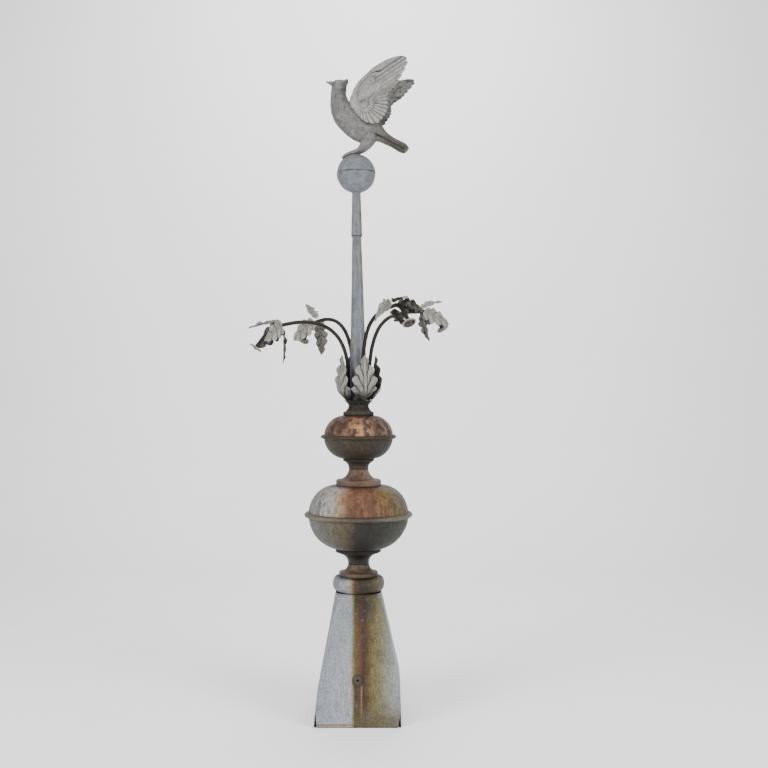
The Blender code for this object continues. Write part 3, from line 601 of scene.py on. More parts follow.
@dataclass(frozen=True)
class Patina:
    """Weathered metal: colours set by where rain ran, broken up by mottles and streaks, with painted shade
    and some staining.
    """

    name: str
    stops: Stops
    pattern: Pattern = Pattern.ROUND
    low: float = -180.0
    high: float = 180.0
    wander: float = 0.03
    tone: float = 1.0
    mottle: float = 0.3
    mottle_size: float = 16 * MM
    streak: float = 0.25
    speckle: float = 0.42
    spangle: float = 0.0
    dark: Colour = tint(0x3e342c)
    dark_amount: float = 0.25
    pale: Colour = tint(0xbcb8ac)
    pale_amount: float = 0.15
    foot_shade: float = 1.0
    head_shade: float = 1.0
    # Painted shade on back faces (colour and strength), then the colour of painted shade with some staining
    # in hollows.
    underside: Colour = tint(0x5c5448)
    underside_shade_amount: float = 0.0
    shade_and_dirt_colour: Colour = tint(0x14110e)
    roughness: float = 0.6
    metallic: float = 0.12
    dark_from: float = 0.56
    drip: float = 0.6
    bump: float = 0.35 * MM
    seed: float = 0.0
    contrast: float = 2.2
    grain_size: float = 3.4 * MM
    run_width: float = 4.5 * MM
    run_squeeze: float = 0.09
    spangle_size: float = 5 * MM
    dark_span: float = 0.28
    pale_range: Pair = (0.66, 0.95)

    def coordinate(self, graph: Graph, height: Signal) -> Signal:
        """Place on the colour ramp, from 0 to 1, before it wanders."""
        if self.pattern is Pattern.ROUND:
            turn = graph.math("ARCTAN2", graph.x, graph.y * -1.0)
            return turn / math.radians(self.high - self.low) + 0.5
        if self.pattern is Pattern.ALONG:
            return height
        return (graph.x - self.low) / (self.high - self.low)

    def place_stops(self) -> Stops:
        """The stops with their places as shares of the ramp."""
        span = self.high - self.low
        return tuple(((place - self.low) / span, colour) for place, colour in self.stops)

    def make(self, node: str) -> Material:
        """Make the material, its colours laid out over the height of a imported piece.

        Args:
            node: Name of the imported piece.

        Returns:
            The material.
        """
        bottom, top = (corner.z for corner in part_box(node))
        graph = Graph(self.name)
        blotch = self.layer(graph, Layer.BLOTCH, self.mottle_size)
        patch = self.layer(graph, Layer.PATCH, 2.2 * self.mottle_size)
        grain = self.layer(graph, Layer.GRAIN, self.grain_size)
        run = self.layer(graph, Layer.RUN, self.run_width, self.run_squeeze)
        height = (graph.z - bottom) / (top - bottom)
        wander = swing(patch, 0.6 * self.wander) + swing(run, 0.5 * self.wander)
        colour = graph.ramp(self.coordinate(graph, height) + wander, self.place_stops())
        if self.pattern is Pattern.FRONT:
            colour = self.stain_front(graph, colour, run)
            colour = self.keep_to_front(graph, colour, run, patch)
        shade = height.between(0.0, 1.0) * (self.head_shade - self.foot_shade) + self.foot_shade
        value = shade * (1.0 + swing(blotch, self.contrast * self.mottle)
                         + swing(run, self.contrast * self.streak) + swing(grain, 2.0 * self.speckle))
        if self.spangle:
            value = value * (1.0 + swing(graph.cells(self.spangle_size, self.seed), self.spangle))
        dark = self.layer(graph, Layer.DARK, 0.8 * self.mottle_size, self.drip)
        dark = dark.between(self.dark_from, self.dark_from + self.dark_span)
        pale = self.layer(graph, Layer.PALE, 0.6 * self.mottle_size).between(*self.pale_range)
        colour = graph.mix(dark * self.dark_amount, graph.brighten(colour, value), self.dark)
        colour = graph.brighten(graph.mix(pale * self.pale_amount, colour, self.pale), self.tone)
        # Painted shade on back faces.
        if self.underside_shade_amount:
            under = graph.mark(Mark.UNDERSIDE) * self.underside_shade_amount * (0.8 + swing(blotch, 1.0))
            colour = graph.mix(under, colour, self.underside)
        # Painted shade in hollows, creases and seams, with some staining.
        colour = graph.mix(graph.mark(Mark.CAVITY) * (0.9 + swing(blotch, 0.8)), colour, self.shade_and_dirt_colour)
        roughness = self.roughness + swing(blotch, 0.3) + swing(grain, 0.15)
        relief = grain * 0.35 + blotch * 0.5 - dark * 0.12 + pale * 0.1
        return graph.finish(colour, roughness, self.metallic, relief, self.bump)

    def layer(self, graph: Graph, layer: Layer, size: float, squeeze: float = 1.0) -> Signal:
        """One of the patina's noises."""
        shift, detail = layer.value
        return graph.noise(size, self.seed + shift, detail, squeeze)

    def stain_front(self, graph: Graph, front: Signal, run: Signal) -> Signal:
        """Stains down the front, along its bottom edge and in a halo round the nail washer.

        Args:
            graph: The material's graph.
            front: Colour of the front before them.
            run: Noise that breaks the stains up.

        Returns:
            The stained colour.
        """
        for stain in FRONT_STAINS:
            front = graph.mix(stain.cover(graph, run), front, stain.colour)
        away = (graph.x ** 2.0 + (graph.z - NAIL_HEIGHT) ** 2.0) ** 0.5
        halo = (1.0 - away.between(*HALO_EDGE)) * WASHER_HALO.cover(graph, run)
        return graph.mix(halo, front, WASHER_HALO.colour)

    def keep_to_front(self, graph: Graph, front: Signal, run: Signal, patch: Signal) -> Signal:
        """The front's colours on the front alone; the other sides are grey with weak ochre runs.

        Args:
            graph: The material's graph.
            front: Colour of the front.
            run: Noise of the streaks.
            patch: Noise of the wide patches.

        Returns:
            The colour of all four sides.
        """
        facing = (graph.y * -1.0 - abs(graph.x) * SIDE_SLANT).between(0.0, SIDE_FADE)
        ochre = (run * 0.6 + patch * 0.6).between(0.55, 0.85) * 0.55
        return graph.mix(facing, graph.mix(ochre, self.stops[1][1], SIDE_OCHRE), front)


def stops(*rows: tuple[float, int]) -> Stops:
    """Stops from rows of a place and a screen colour."""
    return tuple((place, tint(code)) for place, code in rows)


def ring_stops(*rows: tuple[float, int]) -> Stops:
    """Stops round the axis from -180 degrees on, closed at 180 degrees with the first colour."""
    return stops(*rows, (180.0, rows[0][1]))


def even_stops(*codes: int) -> Stops:
    """Stops spaced evenly round the axis, from screen colours."""
    return ring_stops(*((360.0 * i / len(codes) - 180.0, code) for i, code in enumerate(codes)))


ZINC_STOPS = even_stops(0xa0a5aa, 0xaaaeb2, 0xa2a7ad, 0x9ca2a8)
SHAFT_ZINC = Patina(
    "shaft_zinc", ZINC_STOPS,
    mottle=0.26, mottle_size=22 * MM, streak=0.26, speckle=0.1, spangle=0.05, dark=tint(0x686a6e),
    dark_amount=0.45, pale_amount=0.1, roughness=0.55, tone=0.29, seed=2.0)
BALL_ZINC = Patina(
    "ball_zinc", ZINC_STOPS,
    mottle_size=14 * MM, streak=0.06, speckle=0.24, spangle=0.1, dark=tint(0x70747c),
    dark_amount=0.4, roughness=0.52, tone=0.31, seed=4.0)
BIRD_ZINC = Patina(
    "bird_zinc", stops(
        (-0.12, 0x9e9d9c), (0.03, 0xa6a4a0), (0.06, 0x8c897e), (0.08, 0x706e62), (0.15, 0x625f52)),
    Pattern.ACROSS, -0.12, 0.15, wander=0.05, mottle=0.36, mottle_size=13 * MM, streak=0.22, speckle=0.24,
    dark=tint(0x7a7c7e), dark_amount=0.45, pale=tint(0xbeb8b2), pale_amount=0.3, roughness=0.58,
    shade_and_dirt_colour=tint(0x1a1917), tone=0.32, seed=6.0)
WING_ZINC = Patina(
    "wing_zinc", even_stops(0xa8a6a3, 0xa6a3a0),
    wander=0.02, mottle_size=12 * MM, streak=0.12, speckle=0.24, dark=tint(0x747670),
    dark_amount=0.5, pale=tint(0xbebbb5), pale_amount=0.35, underside=tint(0x282a24),
    underside_shade_amount=0.9, roughness=0.56, shade_and_dirt_colour=tint(0x191817), tone=0.55, seed=7.0)
SKIRT_ZINC = Patina(
    "skirt_zinc", stops(
        (-0.11, 0x969ca2), (-0.05, 0xa6abb1), (-0.017, 0xaaadb0), (-0.0125, 0x928e70),
        (-0.009, 0x766a42), (-0.003, 0x685230), (0.008, 0x5e422c), (0.014, 0x4a3426), (0.02, 0x503a28),
        (0.026, 0x5c4e2c), (0.036, 0x72673e), (0.05, 0x7c754e), (0.062, 0x848166), (0.076, 0x8e8e80),
        (0.09, 0x9c9e9a), (0.11, 0x9ea2a4)),
    Pattern.FRONT, -0.11, 0.11, wander=0.035, mottle=0.16, mottle_size=18 * MM, streak=0.16, spangle=0.06,
    dark=tint(0x6c7076), dark_amount=0.16, pale=tint(0xc4c2ba), pale_amount=0.14,
    head_shade=0.8, roughness=0.56, shade_and_dirt_colour=tint(0x231d17), tone=0.56, seed=1.0)
# The skirt's inside: painted near black as the shade within the skirt.
INSIDE_ZINC_SHADE = Patina(
    "inside_zinc_shade", even_stops(0x3e3a36, 0x46423c),
    mottle_size=20 * MM, streak=0.3, pale_amount=0.05, roughness=0.75, tone=0.4, seed=10.0)
WASHER_ZINC = Patina(
    "washer_zinc", even_stops(0x7c725a, 0x645c46),
    mottle_size=5 * MM, dark_amount=0.5, shade_and_dirt_colour=tint(0x0d0b09), tone=0.42, seed=9.0)
COLLAR_PATINA = Patina(
    "collar_patina", ring_stops(
        (-180, 0x888682), (-90, 0x96989c), (-40, 0xa4a6ac), (-20, 0xb0adad), (-14, 0x967856),
        (-7, 0x5c442e), (2, 0x40362a), (22, 0x3e3528), (38, 0x584e36), (56, 0x767058), (90, 0x808074)),
    mottle=0.24, mottle_size=12 * MM, streak=0.08, foot_shade=0.85, dark_amount=0.2, tone=0.5, seed=11.0)
LOWER_NECK_FOOT = Patina(
    "lower_neck_foot", ring_stops(
        (-180, 0x686258), (-90, 0x767064), (-30, 0x806e58), (0, 0x745e46), (35, 0x605240),
        (90, 0x686256)),
    mottle=0.26, mottle_size=9 * MM, dark_amount=0.35, tone=0.36, seed=13.0)
LOWER_NECK_HEAD = Patina(
    "lower_neck_head", ring_stops(
        (-180, 0x545048), (-90, 0x6e6e68), (-35, 0x625a4c), (-14, 0x463e32), (12, 0x3c372f),
        (45, 0x4e4e48), (90, 0x62625c)),
    foot_shade=1.25, head_shade=0.45, mottle=0.2, mottle_size=9 * MM, dark=tint(0x22201e),
    dark_amount=0.4, pale_amount=0.08, tone=0.19, seed=15.0)
LARGE_UPPER_PATINA = Patina(
    "large_bulb_upper_patina", ring_stops(
        (-180, 0x827c70), (-110, 0x86847e), (-70, 0x8e8e8c), (-45, 0xb0aeaa), (-33, 0xb6b2a8),
        (-25, 0xb29e82), (-17, 0xa88262), (-9, 0x825a44), (-2, 0x684836), (6, 0x7e563c), (14, 0x80583c),
        (22, 0x664430), (31, 0x82603e), (42, 0x826a42), (54, 0x807452), (68, 0x746e58), (90, 0x767262),
        (140, 0x7c7464)),
    wander=0.06, mottle=0.28, mottle_size=14 * MM, streak=0.42, speckle=0.2, dark=tint(0x4e362c),
    dark_amount=0.45, dark_from=0.5, pale_amount=0.12, foot_shade=0.88, tone=0.5, seed=17.0)
LARGE_LOWER_PATINA = Patina(
    "large_bulb_lower_patina", ring_stops(
        (-180, 0x504c46), (-90, 0x84847e), (-55, 0x8c8a82), (-35, 0x868070), (-20, 0x786c54),
        (-10, 0x665a44), (-5, 0x3e3a34), (12, 0x363430), (32, 0x42423c), (52, 0x54564a), (90, 0x5e6056)),
    wander=0.05, mottle_size=14 * MM, streak=0.2, dark=tint(0x282420), dark_amount=0.4,
    pale=tint(0x888270), foot_shade=0.8, tone=0.34, seed=19.0)
LARGE_BEAD_PATINA = Patina(
    "large_bead_patina", ring_stops(
        (-180, 0x6a6256), (-90, 0x7c766a), (-40, 0x8e8470), (-8, 0x685c4c), (14, 0x585044),
        (40, 0x827c68), (90, 0x88867a)),
    mottle=0.24, mottle_size=8 * MM, streak=0.05, dark_amount=0.4, pale_amount=0.3, tone=0.38, seed=21.0)
# The pale pinkish tan at 30 and 60 degrees is the neck's colour together with a painted highlight on its
# right side.
UPPER_NECK_FOOT = Patina(
    "upper_neck_foot", ring_stops(
        (-180, 0x6e6258), (-90, 0x7c6c60), (-30, 0x745e50), (0, 0x6e5442), (30, 0x826856),
        (60, 0x907c6e), (90, 0x7a6e64)),
    mottle=0.28, mottle_size=9 * MM, dark=tint(0x3e302a), dark_amount=0.45, tone=0.5, seed=23.0)
UPPER_NECK_HEAD = Patina(
    "upper_neck_head", even_stops(0x60564c, 0x6e6458, 0x604e3e, 0x686056),
    foot_shade=1.3, head_shade=0.5, mottle=0.22, mottle_size=8 * MM, dark=tint(0x2c2622),
    dark_amount=0.5, tone=0.24, seed=25.0)
SMALL_UPPER_PATINA = Patina(
    "small_bulb_upper_patina", ring_stops(
        (-180, 0x7a624c), (-90, 0x8a7a62), (-60, 0x785e48), (-40, 0x70503a), (-20, 0x8c6442),
        (-6, 0xbe8c5e), (8, 0xc89668), (18, 0xba926e), (28, 0x926a4c), (38, 0x664a3a), (50, 0x8c7054),
        (70, 0x96866a), (90, 0x8a7e68)),
    wander=0.06, mottle=0.34, mottle_size=15 * MM, streak=0.3, speckle=0.22, dark=tint(0x3e2c2c),
    dark_amount=0.9, dark_from=0.42, pale=tint(0xcec2b2), pale_amount=0.3, foot_shade=0.95,
    head_shade=0.72, bump=0.6 * MM, tone=0.48, seed=27.0)
SMALL_LOWER_PATINA = Patina(
    "small_bulb_lower_patina", ring_stops(
        (-180, 0x4a423a), (-90, 0x686054), (-40, 0x5c5042), (0, 0x544636), (35, 0x4c443a),
        (70, 0x58544c), (90, 0x605c54)),
    mottle=0.34, mottle_size=10 * MM, streak=0.2, dark=tint(0x2c241e), dark_amount=0.45,
    foot_shade=0.85, tone=0.3, seed=29.0)
SMALL_BEAD_PATINA = Patina(
    "small_bead_patina", even_stops(0x625848, 0x706856, 0x685842, 0x6c6656),
    mottle=0.34, mottle_size=7 * MM, streak=0.05, dark=tint(0x322a22), dark_amount=0.6,
    pale=tint(0x96907e), pale_amount=0.4, tone=0.18, seed=31.0)
CUP_PATINA = Patina(
    "cup_patina", stops(
        (0.0, 0x4a4036), (0.25, 0x5c5244), (0.45, 0x36302a), (0.8, 0x322e29), (1.0, 0x545048)),
    Pattern.ALONG, 0.0, 1.0, wander=0.1, mottle_size=7 * MM, streak=0.1, dark=tint(0x1e1b18),
    dark_amount=0.6, pale=tint(0x8c8272), pale_amount=0.5, roughness=0.7, tone=0.38, seed=33.0)
# The dark first stops at the leaves' foot are brown staining together with painted shade among the leaves.
CALYX_ZINC = Patina(
    "calyx_leaf_zinc", stops(
        (0.0, 0x382f25), (0.09, 0x5c5446), (0.2, 0xa4a299), (0.7, 0xb2b1a8), (1.0, 0xa6a7a0)),
    Pattern.ALONG, 0.0, 1.0, wander=0.08, mottle=0.24, mottle_size=12 * MM, streak=0.06, speckle=0.1,
    dark=tint(0x828076), dark_amount=0.3, pale=tint(0xc8c6be), pale_amount=0.3,
    underside=tint(0x2a2721), underside_shade_amount=0.85, shade_and_dirt_colour=tint(0x191815), tone=0.42, seed=35.0)
SPRAY_ZINC = Patina(
    "spray_leaf_zinc", even_stops(0xa8a59b, 0xb2b0a7, 0xacaaa0),
    mottle=0.26, mottle_size=9 * MM, streak=0.05, speckle=0.15, dark=tint(0x746e62), dark_amount=0.35,
    pale=tint(0xc8c6be), pale_amount=0.3, underside=tint(0x18130f), underside_shade_amount=1.0,
    shade_and_dirt_colour=tint(0x1a1713), tone=0.5, seed=37.0)
BUTTON_ZINC = Patina(
    "button_zinc", even_stops(0xa0a296, 0xacada2),
    mottle=0.24, mottle_size=6 * MM, dark_amount=0.2, shade_and_dirt_colour=tint(0x1f160f), tone=0.5, seed=39.0)
STEM_IRON = Patina(
    "stem_iron", even_stops(0x423930, 0x544a3e, 0x3e352d, 0x463c32),
    mottle_size=8 * MM, dark=tint(0x241e1a), dark_amount=0.4, pale=tint(0x746858), pale_amount=0.3,
    roughness=0.62, bump=0.5 * MM, tone=0.2, seed=41.0)


@dataclass(frozen=True)
class Frame:
    """Place of a piece that was drawn upright at the origin: turned, leant towards -X, then lifted."""

    base: float
    lean: float = 0.0
    yaw: float = 0.0
    lift: float = 0.0

    def place(self, points: Array) -> Array:
        """Points turned by the yaw, lifted along the axis, leant by the lean and set on the base."""
        x, y, z = np.moveaxis(points, -1, 0)
        x, y = (x * math.cos(self.yaw) - y * math.sin(self.yaw),
                x * math.sin(self.yaw) + y * math.cos(self.yaw))
        z = z + self.lift
        tilted = x * math.cos(self.lean) - z * math.sin(self.lean)
        return columns(tilted, y, x * math.sin(self.lean) + z * math.cos(self.lean) + self.base)


def lathe(profile: Array, sides: int, dent: float = 0.0, dent_length: float = 1.0, seed: int = 0) -> Array:
    """Rings of a turned shape: each profile point at (r sin a, -r cos a, z), with r moved by soft dents.

    Args:
        profile: Rows of radius and height.
        sides: Points round the axis.
        dent: Depth of the dents.
        dent_length: Their size.
        seed: Number that fixes them.

    Returns:
        Grid of points, a row for each profile point.
    """
    angle = circle(sides)
    radius = profile[:, :1]
    rings = columns(radius * np.sin(angle), -radius * np.cos(angle), profile[:, 1:2])
    if not dent:
        return rings
    depth = dent * ripple(rings, dent_length, seed) * smooth(radius, 0.0, 10 * MM)
    return rings + unit(rings * (1.0, 1.0, 0.0)) * depth[..., None]


def aim(rings: Array, centre: Array, axis: Array) -> Array:
    """Points drawn round +Z, turned so that +Z points along an axis, and moved to a centre."""
    turn = np.array(Vector(axis).to_track_quat("Z", "Y").to_matrix())
    return rings @ turn.T + centre


@dataclass(frozen=True)
class Skirt:
    """Sheet skirt with dressed corners, gaping front corners and a nail hole with its washer."""

    height: float = 322 * MM
    knee_height: float = 94 * MM
    foot_half: float = 109 * MM
    knee_half: float = 103.5 * MM
    knee_shift: float = 3.5 * MM
    top_half: float = 58.5 * MM
    corner: float = 2.5 * MM
    top_corner: float = 40 * MM
    sheet: float = 1.0 * MM
    slit_height: float = 38 * MM
    slit_width: float = 6.7 * MM
    slit_reach: float = 13 * MM
    dent: float = 0.45 * MM
    hole_height: float = 115 * MM
    hole_radius: float = 2.5 * MM
    washer_thickness: float = 1.2 * MM
    washer_gap: float = 0.3 * MM
    washer_reaches: Row = (2.5, 2.5, 4.2, 9.5, 11.6, 12.5, 12.1)
    washer_lifts: Row = (0.0, 0.7, 1.0, 1.0, 0.85, 0.4, 0.0)
    washer_rim: Pair = (9.5 * MM, 12.5 * MM)
    notches: int = 17
    notch_depth: float = 1.5 * MM
    dent_length: float = 110 * MM
    # Darker band along the bottom edge, and painted shadow behind the gaping front corners.
    edge_darkening: float = 0.75
    edge_height: float = 3 * MM
    shadow_reach: Pair = (9 * MM, 15 * MM)
    arc_steps: int = 4
    run_steps: int = 43

    def half_width(self, height: Array) -> Array:
        """Half the width: straight from the foot to the knee, then straight to the top."""
        return np.interp(height, (0, self.knee_height, self.height),
                         (self.foot_half, self.knee_half, self.top_half))

    def corner_radius(self, height: Array) -> Array:
        """Corner radius: crisp below the knee, then growing with the fifth power of the height."""
        share = np.clip((height - self.knee_height) / (self.height - self.knee_height), 0, 1)
        return self.corner + (self.top_corner - self.corner) * share**5

    def rings(self, levels: Array) -> Array:
        """Rings round rounded squares: an arc and then a straight run, four times, at every level.

        Args:
            levels: Heights of the rings.

        Returns:
            Grid of points, one row for each level.
        """
        half, radius = self.half_width(levels)[:, None], self.corner_radius(levels)[:, None]
        arcs = []
        for quarter, (right, rear) in enumerate(((1, 1), (-1, 1), (-1, -1), (1, -1))):
            angle = np.radians(90 * quarter + np.linspace(0, 90, self.arc_steps + 1))
            arcs.append(columns(right * (half - radius) + radius * np.cos(angle),
                                rear * (half - radius) + radius * np.sin(angle)))
        share = np.linspace(0, 1, self.run_steps + 2)[1:-1, None]
        parts = []
        for quarter, arc in enumerate(arcs):
            following = arcs[(quarter + 1) % 4]
            parts += [arc, arc[:, -1:] * (1 - share) + following[:, :1] * share]
        flat = np.concatenate(parts, 1)
        below, above = levels / self.knee_height, (self.height - levels) / (self.height - self.knee_height)
        flat[..., 0] += self.knee_shift * np.minimum(below, above)[:, None]
        return columns(flat[..., 0], flat[..., 1], levels[:, None])

    def hole(self) -> tuple[Array, Array, Array]:
        """Centre of the nail hole on the front panel, the panel's normal, and its upward direction."""
        slope = (self.knee_half - self.top_half) / (self.height - self.knee_height)
        normal = unit(np.array([0.0, -1.0, slope]))
        centre = np.array([0.0, -float(self.half_width(np.array(self.hole_height))), self.hole_height])
        return centre, normal, np.cross(normal, (1.0, 0.0, 0.0))

    def build(self) -> None:
        """Build the skirt and its washer."""
        levels = np.concatenate([np.linspace(0, self.knee_height, 25),
                                 np.linspace(self.knee_height, self.height, 49)[1:]])
        rings = self.rings(levels)
        outward = unit(rings * (1.0, 1.0, 0.0))
        calm = smooth(self.height - rings[..., 2], 0, 40 * MM) * smooth(rings[..., 2], 0, 20 * MM)
        rings = rings + outward * (self.dent * ripple(rings, self.dent_length, 5) * calm)[..., None]
        span = self.arc_steps + 1 + self.run_steps
        left = 2 * span + self.arc_steps // 2
        rings = np.roll(rings, -left, axis=1)
        front = rings[:, :span + 1].copy()
        rest = np.concatenate([rings[:, span:], rings[:, :1]], 1)
        gap = self.slit_width * np.clip(1 - levels / self.slit_height, 0, 1)[:, None]
        for side, corner in ((1, front[:, :1, 0]), (-1, front[:, -1:, 0])):
            front[..., 0] += side * gap * np.exp(-np.abs(front[..., 0] - corner) / self.slit_reach)
        piece = PieceMesh()
        # Darker band along the bottom edge; painted shadow on the side panels just behind the open front
        # corners.
        edge = self.edge_darkening * (1 - smooth(levels, 0, self.edge_height))[:, None]
        front_index = piece.add_points(front, edge)
        behind = rest[..., 1] + self.half_width(levels)[:, None]
        open_share = 1 - smooth(levels, 0.6 * self.slit_height, self.slit_height)
        shadow = (1 - smooth(behind, *self.shadow_reach)) * open_share[:, None]
        rest_index = piece.add_points(rest, np.maximum(edge, shadow))
        welded = levels >= self.slit_height
        rest_index[welded, 0] = front_index[welded, -1]
        rest_index[welded, -1] = front_index[welded, 0]
        piece.add_quads(front_index)
        piece.add_quads(rest_index)
        self.open_hole(piece, front_index)
        skirt = piece.dress("skirt", "skirt_sheet", SKIRT_ZINC.make("skirt"), "zinc", 28)
        wall = skirt.modifiers.new("sheet", "SOLIDIFY")
        wall.thickness, wall.offset, wall.material_offset = self.sheet, -1.0, 1
        # Inside face takes the near-black painted shade.
        skirt.data.materials.append(INSIDE_ZINC_SHADE.make("skirt"))
        self.build_washer()

    def open_hole(self, piece: PieceMesh, index: Array) -> None:
        """Open the nail hole: the faces at its middle go, and their border moves onto its circle.

        Args:
            piece: The skirt's mesh, with the front's points first.
            index: Numbers of the front's points.
        """
        centre, _, up = self.hole()
        points = piece.points[0]
        row, column = np.unravel_index(np.argmin(np.linalg.norm(points - centre, axis=1)), index.shape)
        steps = ((-1, -1), (-1, 0), (-1, 1), (0, 1), (1, 1), (1, 0), (1, -1), (0, -1))
        for down, across in steps:
            towards = unit(np.array([across, 0.0, 0.0]) + up * down)
            points[index[row + down, column + across]] = centre + towards * self.hole_radius
        middle = int(index[row, column])
        piece.faces[:] = [face for face in piece.faces if middle not in face]

    def build_washer(self) -> None:
        """Flat ring with a notched edge round the nail hole."""
        centre, normal, up = self.hole()
        angle = circle(10 * self.notches)
        notch = np.abs(np.cos(0.5 * self.notches * angle)) ** 6
        radius = np.array(self.washer_reaches)[:, None] * MM
        lift = np.array(self.washer_lifts)[:, None] * self.washer_thickness + self.washer_gap
        radius = radius - self.notch_depth * notch * smooth(radius, *self.washer_rim)
        spokes = np.cos(angle)[:, None] * np.array([1.0, 0.0, 0.0]) + np.sin(angle)[:, None] * up
        rings = centre + radius[..., None] * spokes + lift[..., None] * normal
        # Painted shade in the notches and round the hole.
        cavity = notch * smooth(radius, 8 * MM, 11 * MM) + hump(radius, self.hole_radius, 1 * MM)
        piece, cavity = PieceMesh(), np.clip(cavity, 0, 1)
        piece.add_quads(piece.add_points(rings, cavity), wrap_rows=True, wrap_columns=True)
        piece.dress("nail_washer", "washer_ring", WASHER_ZINC.make("nail_washer"), "stained_zinc")


@dataclass(frozen=True)
class NeckSizes:
    """Radius of a neck's waist, height of its foot's edge, and radius, curve and bevel of its head."""

    waist: float
    foot_height: float
    neck: float
    curve_height: float
    bevel: float


@dataclass(frozen=True)
class BulbSizes:
    """How far a bulb's seats stand out past its neighbours, and how square its two bowls are."""

    ledge: float
    top_ledge: float
    lower_fullness: float
    upper_fullness: float


def flared_foot(base: float, top: float, foot: float, sizes: NeckSizes) -> Array:
    """Trumpet profile from a round foot to a waist: r falls with (1 - sqrt(t))^1.5 up to the waist.

    Args:
        base: Level of the foot's underside.
        top: Level of the waist.
        foot: Radius of the foot.
        sizes: Sizes of the neck.

    Returns:
        Rows of radius and height, axis to axis.
    """
    share = np.linspace(0.02, 1, 13) ** 1.5
    shoulder, rise = foot - 3 * MM, base + sizes.foot_height
    curve = columns(sizes.waist + (shoulder - sizes.waist) * (1 - np.sqrt(share)) ** 1.5,
                    rise + (top - rise) * share)
    start = [(0, base), (foot - 0.4 * MM, base), (foot, base + 1 * MM), (foot, rise - 2 * MM),
             (foot - 1.2 * MM, rise - 0.4 * MM), (shoulder, rise)]
    return np.concatenate([start, curve, [(0, top)]])


def flared_head(base: float, top: float, head: float, sizes: NeckSizes) -> Array:
    """Trumpet profile from a waist to a round seat: r grows with t^2.7, then a bevel and a rim.

    Args:
        base: Level of the waist.
        top: Level of the rim's top.
        head: Radius of the rim.
        sizes: Sizes of the neck.

    Returns:
        Rows of radius and height, axis to axis.
    """
    share = np.linspace(0, 1, 12)
    curve = columns(sizes.waist + (sizes.neck - sizes.waist) * share**2.7,
                    base + sizes.curve_height * share)
    edge = base + sizes.curve_height + sizes.bevel
    return np.concatenate([[(0, base)], curve, [(head, edge), (head, top), (0, top)]])


def bowl(seat: float, equator: float, seat_height: float, equator_height: float, fullness: float) -> Array:
    """Spun bowl from its seat to its widest ring: r grows with (1 - (1 - t)^2)^fullness.

    Args:
        seat: Radius at the seat.
        equator: Radius at the widest ring.
        seat_height: Level of the seat.
        equator_height: Level of the widest ring.
        fullness: How square the bowl's curve is; smaller is squarer.

    Returns:
        Rows of radius and height, axis to axis.
    """
    share = np.linspace(0, 1, 26) ** 1.8
    radius = seat + (equator - seat) * (1 - (1 - share) ** 2) ** fullness
    curve = columns(radius, seat_height + (equator_height - seat_height) * share)
    return np.concatenate([[(0, seat_height)], curve, [(0, equator_height)]])


